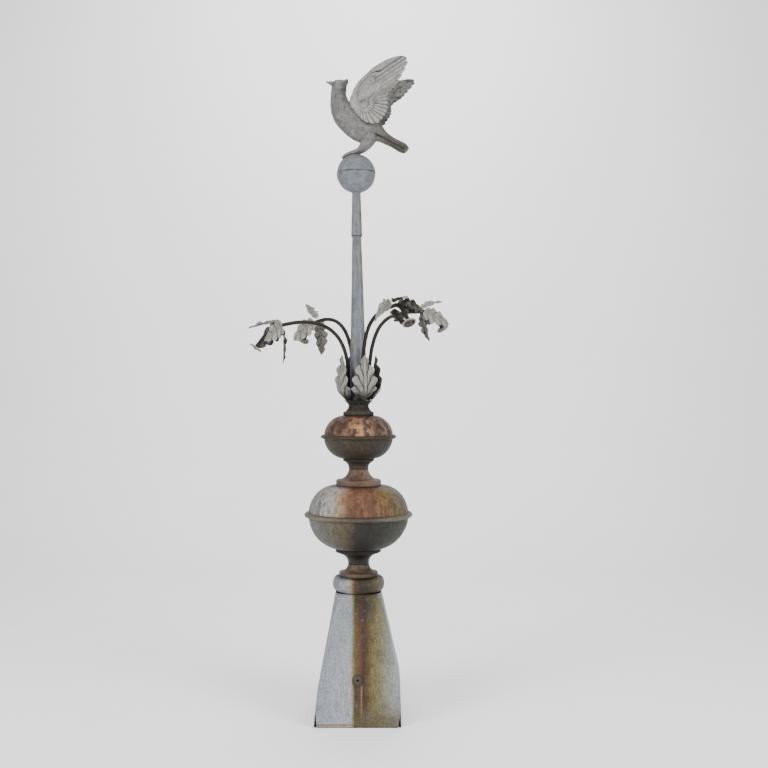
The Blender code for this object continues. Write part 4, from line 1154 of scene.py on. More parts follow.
@dataclass(frozen=True)
class Stack:
    """Spun pieces between the skirt and the leaves: collar, necks, bulbs, beads and cup."""

    sides: int = 128
    dent: float = 0.35 * MM
    dent_length: float = 60 * MM
    soft: float = 0.7 * MM
    collar_lip: float = 8 * MM
    collar_top: float = 52 * MM
    lower_neck: NeckSizes = NeckSizes(27 * MM, 11 * MM, 42 * MM, 24.5 * MM, 6.5 * MM)
    upper_neck: NeckSizes = NeckSizes(25.3 * MM, 15 * MM, 37 * MM, 19.5 * MM, 1.5 * MM)
    large_bulb: BulbSizes = BulbSizes(0.7 * MM, 4 * MM, 0.6, 0.5)
    small_bulb: BulbSizes = BulbSizes(0.5 * MM, 1.5 * MM, 0.56, 0.54)
    cup_waist: float = 25.7 * MM
    cup_foot_height: float = 9.5 * MM
    cup_waist_height: float = 26 * MM
    cup_shoulder: float = 4 * MM
    cup_top: float = 37.6 * MM
    foot_band: float = 2.5 * MM
    seam_band: float = 1.5 * MM
    head_band: float = 5 * MM
    # Painted shadow lines at the foot and head of each spun piece and along the beads' edges.
    foot_shadow_line: float = 0.9
    head_shadow_line: float = 0.7
    bead_shadow_line: float = 0.8

    def build(self) -> None:
        """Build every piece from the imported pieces' levels and radii."""
        self.turn("skirt_collar", COLLAR_PATINA, "zinc", self.collar())
        self.neck("lower", self.lower_neck, LOWER_NECK_FOOT, LOWER_NECK_HEAD)
        self.bulb("large", self.large_bulb, ("lower_neck_top", "upper_neck_bottom"),
                  (LARGE_LOWER_PATINA, LARGE_UPPER_PATINA, LARGE_BEAD_PATINA))
        self.neck("upper", self.upper_neck, UPPER_NECK_FOOT, UPPER_NECK_HEAD)
        self.bulb("small", self.small_bulb, ("upper_neck_top", "calyx_cup"),
                  (SMALL_LOWER_PATINA, SMALL_UPPER_PATINA, SMALL_BEAD_PATINA))
        self.turn("calyx_cup", CUP_PATINA, "dark_zinc", self.cup())

    def neck(self, name: str, sizes: NeckSizes, foot_finish: Patina, head_finish: Patina) -> None:
        """Both halves of a neck.

        Args:
            name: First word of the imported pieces' names.
            sizes: Its sizes.
            foot_finish: Patina of the lower half.
            head_finish: Patina of the upper half.
        """
        for end, shape, finish in (("bottom", flared_foot, foot_finish), ("top", flared_head, head_finish)):
            node = f"{name}_neck_{end}"
            self.turn(node, finish, "stained_zinc", shape(*self.span(node), sizes))

    def bulb(self, name: str, sizes: BulbSizes, neighbours: tuple[str, str],
             finishes: tuple[Patina, Patina, Patina]) -> None:
        """Both bowls of a bulb and the bead over their seam.

        Args:
            name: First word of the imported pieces' names.
            sizes: Its sizes.
            neighbours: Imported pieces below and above, whose rims give the seats.
            finishes: Patinas of both bowls and the bead.
        """
        for half, neighbour, finish in zip(("lower", "upper"), neighbours, finishes):
            low, high, equator = self.span(f"{name}_bulb_{half}")
            seat = self.span(neighbour)[2]
            profile = (bowl(seat + sizes.ledge, equator, low, high, sizes.lower_fullness) if half == "lower"
                       else bowl(seat + sizes.top_ledge, equator, high, low, sizes.upper_fullness))
            self.turn(f"{name}_bulb_{half}", finish, "stained_zinc", profile)
        self.bead(f"{name}_bulb_bead", finishes[2], equator + FIT)

    def span(self, node: str) -> Spot:
        """Lowest level, highest level and radius of a packed round piece."""
        low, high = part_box(node)
        return low.z, high.z, high.x

    def collar(self) -> Array:
        """Fat moulding: r = R - 1.4 lip (1 - cos a) over a half circle, with a flat top."""
        low, high, radius = self.span("skirt_collar")
        angle = np.linspace(-0.5 * np.pi, 0.5 * np.pi, 18)[1:-1]
        bulge = columns(radius - 1.4 * self.collar_lip * (1 - np.cos(angle)),
                        low + (high - low) * (0.5 + 0.5 * np.sin(angle)))
        return np.concatenate([[(0, low), (radius - self.collar_lip, low)], bulge,
                               [(self.collar_top, high), (0, high)]])

    def cup(self) -> Array:
        """Cup profile: a flat foot, a waist reached with (1 - t)^2, and a flare with t^1.5."""
        low, high, foot = self.span("calyx_cup")
        foot_top, waist = low + self.cup_foot_height, low + self.cup_waist_height
        share = np.linspace(0.05, 1, 9)
        hollow = columns(self.cup_waist + (foot - self.cup_shoulder - self.cup_waist) * (1 - share) ** 2,
                         foot_top + (waist - foot_top) * share)
        flare = columns(self.cup_waist + (self.cup_top - self.cup_waist) * share**1.5,
                        waist + (high - waist) * share)
        return np.concatenate([[(0, low), (foot, low), (foot, foot_top)], hollow, flare, [(0, high)]])

    def turn(self, node: str, finish: Patina, slot: str, profile: Array) -> None:
        """Spin one closed profile.

        Args:
            node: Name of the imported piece.
            finish: Its patina.
            slot: Its material slot.
            profile: Rows of radius and height, axis to axis.
        """
        low, high, _ = self.span(node)
        soft = soften(profile, self.soft)
        piece = PieceMesh()
        rings = lathe(soft, self.sides, self.dent, self.dent_length, len(node))
        band = self.seam_band if node.endswith("bottom") else self.head_band
        level = soft[1:-1, 1:]
        # Painted shadow lines: a band at the foot, and one at the head where the next piece overhangs.
        cavity = (self.foot_shadow_line * (1 - smooth(level, low, low + self.foot_band))
                  + self.head_shadow_line * smooth(level, high - band, high))
        piece.add_turned(rings, cavity)
        piece.dress(node, f"{node}_spun", finish.make(node), slot, 38)

    def bead(self, node: str, finish: Patina, inner: float) -> None:
        """Half-round bead: a closed half circle of radius and height carried round a seam.

        Args:
            node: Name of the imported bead.
            finish: Its patina.
            inner: Radius of its flat back.
        """
        low, high, outer = self.span(node)
        angle = np.linspace(-0.5 * np.pi, 0.5 * np.pi, 17)
        section = columns(inner + (outer - inner) * np.cos(angle),
                          (low + high) / 2 + (high - low) / 2 * np.sin(angle))
        rings = lathe(section, self.sides, 0.5 * self.dent, 0.5 * self.dent_length, len(node) + 1)
        # Painted shade where the bead's top and bottom meet the bowls.
        cavity = self.bead_shadow_line * np.abs(np.sin(angle))[:, None] ** 3
        piece = PieceMesh()
        piece.add_quads(piece.add_points(rings, cavity), wrap_rows=True, wrap_columns=True)
        piece.dress(node, f"{node}_spun", finish.make(node), "stained_zinc")


@dataclass(frozen=True)
class Calyx:
    """Four upright acanthus leaves that stand on the cup round the shaft."""

    azimuths: Row = (-59, 20, 112, -152)
    height: float = 115 * MM
    half_width: float = 35 * MM
    base_reach: float = 35.2 * MM
    spread: float = 21 * MM
    inward: float = 12 * MM
    tip_curl: float = 4 * MM
    wrap: float = 80 * MM
    thickness: float = 2.4 * MM
    lobe_relief: float = 4.6 * MM
    lobe_pitch: float = 0.285
    lobe_shift: float = 0.21
    lobe_lean: float = 0.36
    midrib: float = 1.4 * MM
    groove_place: float = 5 * MM
    groove_width: float = 1.6 * MM
    groove_depth: float = 1.2 * MM
    rim_curl: float = 1.6 * MM
    uneven: float = 0.5 * MM
    # Height of the dark band at the leaves' foot: painted shade with brown staining.
    shade_and_grime_height: float = 0.17
    rows: int = 121
    columns: int = 73

    def build(self) -> None:
        """Build the four leaves."""
        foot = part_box("acanthus_leaf_1")[0].z + self.thickness / 2
        material = CALYX_ZINC.make("acanthus_leaf_1")
        for number, azimuth in enumerate(self.azimuths, 1):
            node = f"acanthus_leaf_{number}"
            piece = PieceMesh()
            self.add_leaf(piece, azimuth, foot, number)
            piece.dress(node, f"{node}_cast", material, "leaf_zinc", 60)

    def width(self, share: Array) -> Array:
        """Half-width: an envelope 1 - t^2.85, cut in by three notches and narrowed at the base."""
        notch = (1 - self.lobe_wave(share) ** 1.6) * (0.17 + 0.28 * share**2)
        base = np.minimum(1.0, 0.6 + share / 0.3)
        return np.maximum(0.9 * MM, self.half_width * (1 - share**2.85) * (1 - notch) * base)

    def lobe_wave(self, share: Array) -> Array:
        """1 at the middle of each lobe and 0 at the notches: |cos(pi (t + shift) / pitch)|."""
        return np.abs(np.cos(np.pi * (share + self.lobe_shift) / self.lobe_pitch))

    def reach(self, share: Array) -> Array:
        """Distance of the midrib from the axis: a quick flare, a slow pull inward and a curled tip."""
        flare = self.spread * np.sin(0.5 * np.pi * np.minimum(1.0, share / 0.24))
        curl = self.tip_curl * np.maximum(0, (share - 0.8) / 0.2)
        return self.base_reach + flare - self.inward * share**2 + curl

    def add_leaf(self, piece: PieceMesh, azimuth: float, base: float, seed: int) -> None:
        """Add one leaf: lobes follow lines that leave the midrib low down and bow out to the edge.

        Args:
            piece: Mesh that takes the leaf.
            azimuth: Where it stands round the shaft.
            base: Level of its foot.
            seed: Fixes its unevenness.
        """
        share = np.linspace(0, 1, self.rows)[:, None]
        across = np.linspace(-1, 1, self.columns)[None, :]
        outward, sideways = azimuth_frame(azimuth)
        offset = across * self.width(share)
        rise = 0.55 * np.abs(offset) * (1 - share)
        reach = self.reach(share) - offset**2 / (2 * self.wrap)
        up = columns(0.0, 0.0, base + self.height * share + rise)
        middle = outward * reach[..., None] + sideways * offset[..., None] + up
        normals = surface_normals(middle, outward)
        ridge = self.lobe_wave(share + self.lobe_lean * (1 - np.abs(across)) ** 2.1) ** 1.1
        away = smooth(np.abs(offset), 2 * MM, 7 * MM)
        fade = smooth(share, 0.02, 0.15) * (1 - 0.6 * smooth(share, 0.85, 1.0))
        groove = hump(np.abs(offset), self.groove_place, self.groove_width) * fade
        relief = (self.lobe_relief * (ridge - 0.6) * away * fade - self.groove_depth * groove
                  + self.midrib * hump(offset, 0.0, 3.2 * MM) * (1 - share)
                  + self.rim_curl * np.abs(across) ** 3 * fade
                  + self.uneven * ripple(middle, 30 * MM, seed))
        rim = 1 - 0.55 * np.abs(across) ** 10
        # Painted shade in the valleys between lobes and in the grooves; at the foot, painted shade with brown
        # staining.
        cavity = (1 - smooth(ridge, 0.0, 0.5)) * away * fade + 0.7 * groove
        shade_and_grime = 1 - smooth(share + 0.08 * ripple(middle, 9 * MM, seed), 0.0, self.shade_and_grime_height)
        cavity = np.clip(np.maximum(cavity, 0.9 * shade_and_grime), 0, 1)
        half = 0.5 * self.thickness * rim
        piece.add_plate(middle, normals, half + relief, half - 0.8 * relief, cavity)


@dataclass(frozen=True)
class Mast:
    """Tapered shaft, its sleeve and the two half balls, on an axis that leans a little."""

    lean: float = math.radians(0.6)
    length: float = 424 * MM
    base_radius: float = 23 * MM
    top_radius: float = 11.7 * MM
    sleeve_length: float = 113 * MM
    sleeve_base: float = 14.3 * MM
    sleeve_top: float = 11.2 * MM
    ball: float = 50 * MM
    seam_rise: float = 1.5 * MM
    lap: float = 0.8 * MM
    lap_azimuth: float = 158.0
    lap_fade: float = 25.0
    lap_end: float = 120.0
    # Painted shade on the shaft's foot deep in the calyx, and how far up it fades.
    foot_painted_shade: float = 1.1
    foot_painted_shade_height: float = 30 * MM
    lip: float = 0.6 * MM
    sides: int = 112

    def frame(self) -> Frame:
        """Place of the shaft's foot on the cup."""
        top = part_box("calyx_cup")[1].z
        return Frame(top + FIT + self.base_radius * math.sin(self.lean), self.lean)

    def ball_centre(self) -> float:
        """Height of the ball's centre above the shaft's foot."""
        sleeve_end = self.length + FIT + self.sleeve_length
        return sleeve_end + FIT + math.sqrt(self.ball**2 - self.sleeve_top**2)

    def build(self) -> None:
        """Build the shaft, the sleeve and both half balls."""
        start = self.length + FIT
        self.tube("shaft_lower", (0.0, self.length), (self.base_radius, self.top_radius), 3, self.foot_painted_shade)
        self.tube("shaft_sleeve", (start, start + self.sleeve_length), (self.sleeve_base, self.sleeve_top), 4)
        flat = math.asin(self.sleeve_top / self.ball)
        seam = math.asin(self.seam_rise / self.ball)
        self.half_ball("ball_lower", flat - 0.5 * np.pi, seam, 0.0)
        self.half_ball("ball_upper", seam, 0.5 * np.pi - 0.06, FIT)

    def tube(self, node: str, ends: Pair, radii: Pair, seed: int,
             shade_and_grime: float = 0.0) -> None:
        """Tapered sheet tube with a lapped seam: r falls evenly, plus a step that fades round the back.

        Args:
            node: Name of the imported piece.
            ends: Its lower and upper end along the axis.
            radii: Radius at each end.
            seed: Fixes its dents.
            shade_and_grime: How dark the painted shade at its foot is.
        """
        low, high = ends
        curve = np.linspace((radii[0], low), (radii[1], high), 40)
        profile = np.concatenate([[(0, low)], curve, [(0, high)]])
        rings = lathe(profile, self.sides, 0.25 * MM, 70 * MM, seed)
        angle = np.degrees(circle(self.sides))
        behind = (angle - self.lap_azimuth) % 360
        step = self.lap * np.exp(-behind / self.lap_fade) * (behind < self.lap_end)
        rings[1:-1] += unit(rings[1:-1] * (1.0, 1.0, 0.0)) * step[None, :, None]
        along = profile[1:-1, 1:] - low
        # Painted shade: a line at the tube's foot, a line along the lap seam, and the shade on the shaft's
        # foot.
        cavity = (0.85 * hump(along, 0.0, 1.5 * MM) + 0.5 * hump(behind, 358.0, 3.0)
                  + shade_and_grime * np.exp(-along / self.foot_painted_shade_height))
        piece = PieceMesh()
        piece.add_turned(self.frame().place(rings), np.clip(cavity, 0, 1))
        piece.dress(node, f"{node}_sheet", SHAFT_ZINC.make(node), "zinc", 40)

    def half_ball(self, node: str, low: float, high: float, lift: float) -> None:
        """Spun half ball between two latitudes, with a soldered lip along the seam.

        Args:
            node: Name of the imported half.
            low: Lower latitude.
            high: Upper latitude.
            lift: How far the half is raised.
        """
        latitude = np.linspace(low, high, 40)
        seam = math.asin(self.seam_rise / self.ball)
        lip = self.lip * np.exp(-np.abs(latitude - seam) / 0.022)
        curve = columns((self.ball + lip) * np.cos(latitude),
                        self.ball_centre() + lift + self.ball * np.sin(latitude))
        profile = np.concatenate([[(0, curve[0, 1])], curve, [(0, curve[-1, 1])]])
        rings = lathe(profile, self.sides, 0.35 * MM, 34 * MM, len(node) * 7)
        angle = circle(self.sides)
        # Darker in patches along the seam.
        patchy = 0.55 + 0.45 * np.sin(7 * angle + 1.0) * np.sin(3 * angle)
        cavity = np.clip(hump(latitude, seam, 0.03)[:, None] * patchy[None, :] * 1.3, 0, 1)
        piece = PieceMesh()
        piece.add_turned(self.frame().place(rings), cavity)
        piece.dress(node, f"{node}_spun", BALL_ZINC.make(node), "zinc", 40)


@dataclass(frozen=True)
class Feathers:
    """Layout of a wing's feathers: where each one lies, and where each row of coverts ends."""

    angles: Row = (-100, -45, 16, 40)
    numbers: Row = (0, 5, 12, 18)
    band_edges: Row = (14.0, 23.0, 32.0, 41.0, 50.0, 59.0)
    band_step: float = 1.3 * MM
    band_turn: Pair = (58.0, 76.0)
    overlap: float = 2.6 * MM
    shaft: float = 0.35 * MM
    covert_ends: Row = (0.5, 0.3)
    covert_steps: Row = (0.9 * MM, 0.6 * MM)
    tip_depth: float = 0.045
    front_rise: Pair = (2.0, 12.0)
    front_fall: Pair = (120.0, 160.0)
    front_depth: Pair = (60.0, 66.0)
    join_angles: Pair = (39.0, 47.0)
    join_shares: Pair = (0.34, 0.5)
    straight_angles: Pair = (56.0, 72.0)
    groove_place: float = 4.0
    groove_width: float = 3.4
    # Painted shade in the seams between feathers and just past the covert edges.
    seam_shade: float = 0.9
    edge_darkening: float = 0.8

    def share_of(self, angle: Array) -> Array:
        """Place across the feather at an angle, from 0 to 1."""
        return np.interp(angle, self.angles, self.numbers) % 1.0

    def active(self, angle: Array) -> Array:
        """1 where flight feathers lie, 0 along the smooth leading edge."""
        first, last = self.angles[0], self.angles[-1]
        return window(angle, (first - 8, first + 8), (last - 2, last + 3))

    def tips(self, angle: Array) -> Array:
        """Share by which the outline is cut in between feather tips: 4 (w - 1/2)^2, cubed at its ends."""
        across = np.abs(2 * self.share_of(angle) - 1) ** 2.5
        depth = self.tip_depth + 0.02 * smooth(angle, 10, 30)
        return depth * across * self.active(angle)

    def relief(self, angle: Array, share: Array, reach: Array) -> tuple[Array, Array]:
        """Height of the feathers: a rising saw across each, steps at the coverts, grooves along the front.

        Args:
            angle: Angle round the wing's root, in degrees.
            share: Share of the way from the root to the edge.
            reach: Distance from the root to the edge, in drawing millimetres.

        Returns:
            The height, and the painted shade in its seams, grooves and lower rim.
        """
        first, second = (np.radians(turn) for turn in self.band_turn)
        order = np.argsort(angle.ravel())
        ends = [np.interp(degrees, angle.ravel()[order], reach.ravel()[order]) for degrees in self.band_turn]
        start = ends[1] * np.array([np.cos(second), np.sin(second)])
        along = unit(ends[0] * np.array([np.cos(first), np.sin(first)]) - start)
        turn = np.radians(angle)
        flat = share * reach
        beyond = (flat * np.cos(turn) - start[0]) * along[1] - (flat * np.sin(turn) - start[1]) * along[0]
        inward = reach * (1 - share) * np.abs(np.cos(np.radians(np.clip(angle - 75, -60, 60))))
        inward = inward + (beyond - inward) * (1 - smooth(angle, *self.straight_angles))
        leading = window(angle, self.front_rise, self.front_fall) * (1 - smooth(inward, *self.front_depth))
        leading = leading * np.maximum(smooth(angle, *self.join_angles), smooth(share, *self.join_shares))
        bent = angle + 10.0 * (1 - share) * smooth(angle, 0, 36)
        across = self.share_of(bent)
        saw = np.sin(np.pi * across) ** 0.7 * (0.75 + 0.25 * across)
        flight = self.active(bent) * (1 - leading)
        shown = flight * smooth(share, self.covert_ends[0] - 0.04, self.covert_ends[0] + 0.04)
        height = (self.overlap * saw * (shown + 0.4 * flight * (1 - shown))
                  - self.shaft * hump(across, 0.5, 0.07) * shown)
        # Painted shade in the seams between feathers, then past each covert edge and in the leading edge's
        # grooves.
        cavity = self.seam_shade * (hump(across, 1.0, 0.11) + hump(across, 0.0, 0.09)) * shown
        place = np.interp(bent, self.angles, self.numbers)
        for row, (end, step) in enumerate(zip(self.covert_ends, self.covert_steps)):
            scallop = np.abs(2 * ((place * (0.8 - 0.12 * row) + 0.4 * row) % 1.0) - 1)
            edge = end - 0.05 * scallop**2
            inside = 1 - smooth(share, edge - 0.012, edge + 0.006)
            height = height + step * (0.6 + 0.4 * smooth(share, edge - 0.12, edge)) * inside * flight
            cavity = cavity + self.edge_darkening * hump(share, edge + 0.01, 0.018) * flight
        for row, line in enumerate(self.band_edges):
            depth = max(0.45, 1.0 - 0.2 * row)
            ridge = hump(inward, line - self.groove_place, self.groove_width)
            height = height + self.band_step * depth * ridge * leading
            cavity = cavity + depth * hump(inward, line + 0.8, 1.7) * leading * smooth(share, 0.2, 0.45)
        # Faint painted shade along the leading edge, and a dark painted shade line round the lower rim and
        # the tips.
        front_band = (1 - smooth(inward, 9, 15)) * window(angle, (36, 46), (100, 140))
        cavity = cavity + 0.16 * front_band * smooth(share, 0.3, 0.5)
        lower = (1 - smooth(angle, -62, -48)) + smooth(angle, 150, 170)
        cavity = cavity + 0.9 * smooth(share, 0.955, 0.985) * lower + 0.3 * smooth(share, 0.975, 1.0)
        return height, np.clip(cavity, 0, 1)


@dataclass(frozen=True)
class Bird:
    """Cast bird on the ball: a feathered body with beak, crest, tail and feet, and two raised wings."""

    yaw: float = math.radians(-7)
    belly: tuple[Pair, ...] = (
        (-55, 193), (-61, 187), (-62.5, 171), (-64, 155), (-65, 137), (-63, 112), (-54, 86), (-34, 61),
        (-11, 41), (18, 29), (50, 32), (79, 22), (110, 3), (124, -2))
    back: tuple[Pair, ...] = (
        (-29, 193.5), (-22, 188), (-24, 169), (-24, 154), (-18, 140), (-4, 130), (14, 122), (32, 111),
        (47, 99), (60, 87), (77, 60), (98, 41), (128, 24), (138, 12))
    half: Row = (8, 13, 15.5, 15.5, 19, 24, 27.5, 28, 26, 21, 15, 13, 17, 15)
    rows: int = 17
    scales_round: int = 14
    scale_height: float = 1.0
    tail_groove: float = 2.4
    neck_crease: float = 0.9
    beak: tuple[Spot, ...] = (
        (-47, 182, 10.5), (-55, 184.5, 8.6), (-63, 187, 6.3), (-71, 189.7, 3.6), (-78, 191.8, 0.8))
    crest: tuple[Spot, ...] = (
        (-33, 178, 8.0), (-28, 185, 7.8), (-23.5, 190, 6.2), (-20.5, 195.5, 3.2))
    socket: tuple[Pair, ...] = (
        (0.001, -0.4), (2.6, -0.3), (3.2, 0.5), (4.2, 0.7), (5.0, 0.2), (5.6, -1.2))
    eye: Pair = (2.5, 1.1)
    eye_place: Spot = (-47.0, 12.2, 183.5)
    thigh: tuple[Spot, ...] = ((40, 50, 16.5), (36, 40, 16), (24, 22, 12), (9, 9, 7))
    toe_turns: Row = (-7, -18, -29, -37, -42)
    toe_shares: Row = (0.95, 0.84, 0.76, 0.64, 0.4)
    side_toe_thickness: float = 0.72
    side_toe_reach: float = 0.86
    stance: float = 10.0
    toe_spread: float = 14.0
    foot_thickness: float = 10.0
    wing_root: Pair = (15.0, 132.0)
    wing_hinge: float = 92.0
    wing_bend: float = 30.0
    wing_spread: float = 0.59
    wing_rise: float = 0.85
    wing_sweep: float = 0.11
    wing_offset: float = 29.8
    wing_thickness: float = 3.0
    outline: tuple[Pair, ...] = (
        (-160, 27.5), (-121, 29), (-91, 43.5), (-73, 62), (-57, 75), (-43, 76.5), (-18, 75), (0, 70), (9, 69),
        (17, 80), (23, 99), (32, 125), (38, 149), (43, 153.5), (49, 143), (57, 121.5), (65, 99), (79, 70),
        (93, 54), (112, 40), (140, 30))
    feathers: Feathers = Feathers()
    mast: Mast = Mast()

    def place(self, points: Array) -> Array:
        """Points drawn in millimetres above the ball, put on the ball."""
        mast = self.mast
        frame = Frame(mast.frame().base, mast.lean, self.yaw, mast.ball_centre() + FIT + mast.ball)
        return frame.place(points * MM)

    def build(self) -> None:
        """Build the body and both wings."""
        piece = PieceMesh()
        self.add_body(piece)
        self.add_head(piece)
        for side in (-1, 1):
            self.add_leg(piece, side)
        piece.dress("bird_body", "bird_body_cast", BIRD_ZINC.make("bird_body"), "zinc", 60)
        material = WING_ZINC.make("bird_body")
        for side, node in ((-1, "bird_wing_left"), (1, "bird_wing_right")):
            piece = PieceMesh()
            self.add_wing(piece, side)
            piece.dress(node, f"{node}_cast", material, "zinc", 60)

    def add_body(self, piece: PieceMesh) -> None:
        """Body: ovals between the belly and back lines, raised by rows of small feathers and tail flutes."""
        count, sides = 190, 112
        line = smooth_through(np.column_stack([self.belly, self.back, self.half]), count)
        angle = circle(sides)[None, :]
        belly = columns(line[:, 0], 0.0, line[:, 1])[:, None]
        back = columns(line[:, 2], 0.0, line[:, 3])[:, None]
        half = line[:, 4][:, None]
        flank = columns(0.0, half * np.sin(angle), 0.0)
        centre = (belly + back) / 2
        skin = centre + (back - belly) / 2 * np.cos(angle)[..., None] + flank
        normals = surface_normals(skin, skin - centre)
        normals[[0, -1]] = normals[[1, -2]]
        along = np.linspace(0, 1, count)[:, None]
        rows = along * self.rows
        turn = angle / (2 * np.pi) * self.scales_round + 0.5 * (np.floor(rows) % 2)
        scallop = np.abs(2 * (turn % 1.0) - 1)
        behind = (rows + 0.6 * scallop**2) % 1.0
        plumage = window(along, (0.06, 0.2), (0.72, 0.8))
        down = 0.25 * ripple(skin * (0.3, 1.0, 0.5), 7.0, 21)
        scales = (self.scale_height * behind**1.2 + down) * plumage
        tail = smooth(along, 0.76, 0.86)
        side = np.abs((angle + np.pi) % (2 * np.pi) - np.pi)
        groove = hump(side, 1.75, 0.2) * window(along, (0.7, 0.78), (0.97, 1.0))
        flutes = np.abs(np.sin(3.0 * angle + 0.6))
        crease = hump(along, 0.33, 0.012) * smooth(np.cos(angle), -0.2, 0.5)
        relief = (scales + tail * (0.9 * flutes - 0.4) - self.tail_groove * groove
                  + 0.35 * ripple(skin, 26.0, 3) - self.neck_crease * crease)
        # Painted shade just past each row of small feathers, in the tail flutes' valleys and in the tail
        # groove.
        cavity = (0.42 * hump(behind, 0.04, 0.1) * plumage + 0.7 * tail * (1 - smooth(flutes, 0, 0.45))
                  + 1.3 * groove)
        piece.add_tube(self.place(skin + normals * relief[..., None]), np.clip(cavity, 0, 1))

    def add_limb(self, piece: PieceMesh, knots: Array, flat: float = 1.0, count: int = 30,
                 sides: int = 28) -> None:
        """Round tapering limb along a smooth path in the upright plane.

        Args:
            piece: Mesh that takes the limb.
            knots: Rows of a place on its middle line and the radius there.
            flat: Height of its section over its breadth.
            count: Rings along it.
            sides: Points round it.
        """
        line = smooth_through(knots, count)
        middle, radius = line[:, :3], np.maximum(line[:, 3:4], 0.4)
        along = unit(np.gradient(middle, axis=0))
        across = unit(np.cross(np.cross(along, (0.0, 1.0, 0.0)), along))
        up = np.cross(along, across)
        rings = hoops(middle, across, up, radius, sides, flat)
        rings = rings + 0.2 * ripple(rings, 9.0, count)[..., None] * unit(rings - middle[:, None])
        piece.add_tube(self.place(rings))

    def add_head(self, piece: PieceMesh) -> None:
        """Beak, crest tuft and two ringed eyes."""
        for knots, flat in ((self.beak, 0.9), (self.crest, 1.0)):
            self.add_limb(piece, np.insert(np.array(knots, float), 1, 0.0, axis=1), flat)
        angle = np.linspace(0, 0.5 * np.pi, 9)
        ball = columns(np.sin(angle), np.cos(angle)) * self.eye
        for side in (-1.0, 1.0):
            place, axis = np.array(self.eye_place) * (1.0, side, 1.0), np.array([-0.35, side, 0.12])
            # Painted shade in the eye socket, and a little on the eyeball.
            for profile, cavity in ((np.array(self.socket), 0.5), (ball, 0.1)):
                piece.add_tube(self.place(aim(lathe(profile, 32), place, axis)), cavity)

    def add_leg(self, piece: PieceMesh, side: int) -> None:
        """Feathered thigh, shank and three toes laid over the ball.

        Args:
            piece: Mesh that takes the leg.
            side: -1 for the near leg and 1 for the far one.
        """
        ball, stance = self.mast.ball / MM, side * self.stance
        leg = np.insert(np.array(self.thigh, float), 1, stance, axis=1)
        for toe in (-1, 0, 1):
            middle = toe == 0
            thickness = np.array(self.toe_shares) * self.foot_thickness / 2
            thickness = thickness * (1.0 if middle else self.side_toe_thickness)
            lift = ball + 1.0 + thickness
            turn = np.array(self.toe_turns, float)
            spread = stance + toe * self.toe_spread * smooth(-turn, 0, 42) * 0.6
            spread = np.where(toe * side < 0, np.clip(spread * side, 3.0, 99.0) * side, spread)
            turn = np.radians(turn * (1.0 if middle else self.side_toe_reach))
            height = np.sqrt(lift**2 - spread**2)
            foot = columns(height * np.sin(turn), spread, height * np.cos(turn) - ball, thickness)
            knots, count = (np.concatenate([leg, foot]), 46) if middle else (foot, 22)
            self.add_limb(piece, knots, 1.0, count, 26)

    def wing_reach(self, angle: Array) -> Array:
        """Reach of the wing's edge on a Catmull-Rom curve through the outline."""
        knots = np.array(self.outline, float)
        first = knots[0, 0]
        angle = (angle - first) % 360 + first
        edges = np.append(knots[:, 0], first + 360)
        index = np.searchsorted(edges, angle, side="right") - 1
        share = (angle - edges[index]) / (edges[index + 1] - edges[index])
        return catmull([knots[(index + step) % len(knots), 1] for step in (-1, 0, 1, 2)], share)

    def spokes(self, count: int) -> Array:
        """Angles that split the wing's edge into even lengths."""
        angle = np.linspace(self.outline[0][0], self.outline[0][0] + 360, 2400)
        reach = self.wing_reach(angle)
        edge = columns(reach * np.cos(np.radians(angle)), reach * np.sin(np.radians(angle)))
        length = np.concatenate([[0], np.cumsum(np.linalg.norm(np.diff(edge, axis=0), axis=1))])
        return np.interp(np.linspace(0, length[-1], count, endpoint=False), length, angle)

    def add_wing(self, piece: PieceMesh, side: int) -> None:
        """Wing: a fan of rings from the root, on a plane that bends outward as it rises.

        Args:
            piece: Mesh that takes the wing.
            side: -1 for the near wing and 1 for the far one.
        """
        angle = self.spokes(400)[None, :]
        share = np.linspace(0, 1, 62)[1:, None]
        tips = 1 - self.feathers.tips(angle) * smooth(share, 0.7, 1.0)
        reach = self.wing_reach(angle) * share * tips
        rise = self.wing_root[1] - self.wing_hinge + reach * np.sin(np.radians(angle))
        lifted = np.maximum(rise, 0.0)
        bend = self.wing_bend
        outward = self.wing_offset + self.wing_spread * lifted**2 / (lifted + bend)
        along = self.wing_root[0] + reach * np.cos(np.radians(angle)) + self.wing_sweep * lifted
        upward = self.wing_hinge + np.minimum(rise, 0.0) + self.wing_rise * lifted
        middle = columns(along, side * outward, upward)
        slope = self.wing_spread * (lifted**2 + 2 * lifted * bend) / (lifted + bend) ** 2
        level = np.where(rise > 0, self.wing_rise, 1.0)
        normals = unit(columns(0.0, side * level, -slope))
        height, cavity = self.feathers.relief(angle, share, self.wing_reach(angle))
        height = height / MM
        thick = self.wing_thickness / 2 * (1 - 0.45 * smooth(share, 0.7, 1.0))
        front = thick + height - 0.8 + 0.3 * ripple(middle, 40.0, 8)
        back = thick + 0.5 * height * smooth(lifted, 12.0, 30.0) - 0.4
        grids = []
        # The back face carries the painted shade of the wing's back side.
        for offset, under in ((front, 0.0), (-back, 1.0)):
            points = self.place(middle + normals * offset[..., None])
            index = piece.add_points(points, cavity, under)
            piece.add_quads(index, wrap_columns=True)
            piece.add_fan(index[0], piece.add_points(points[0].mean(0, keepdims=True), 0.0, under))
            grids.append(index)
        piece.add_quads(np.stack([grids[0][-1], grids[1][-1]]), wrap_columns=True)


@dataclass(frozen=True)
class SprayLeaf:
    """One leaf of a spray: turn round the stem, how it opens and droops, and its size."""

    turn: float
    opening: float
    closing: float
    droop: float
    length: float
    half_width: float
    # Painted shade with some staining over the whole leaf, and how dark the painted shade on its back face
    # is.
    shade_and_grime: float = 0.0
    back_shade: float = 1.0


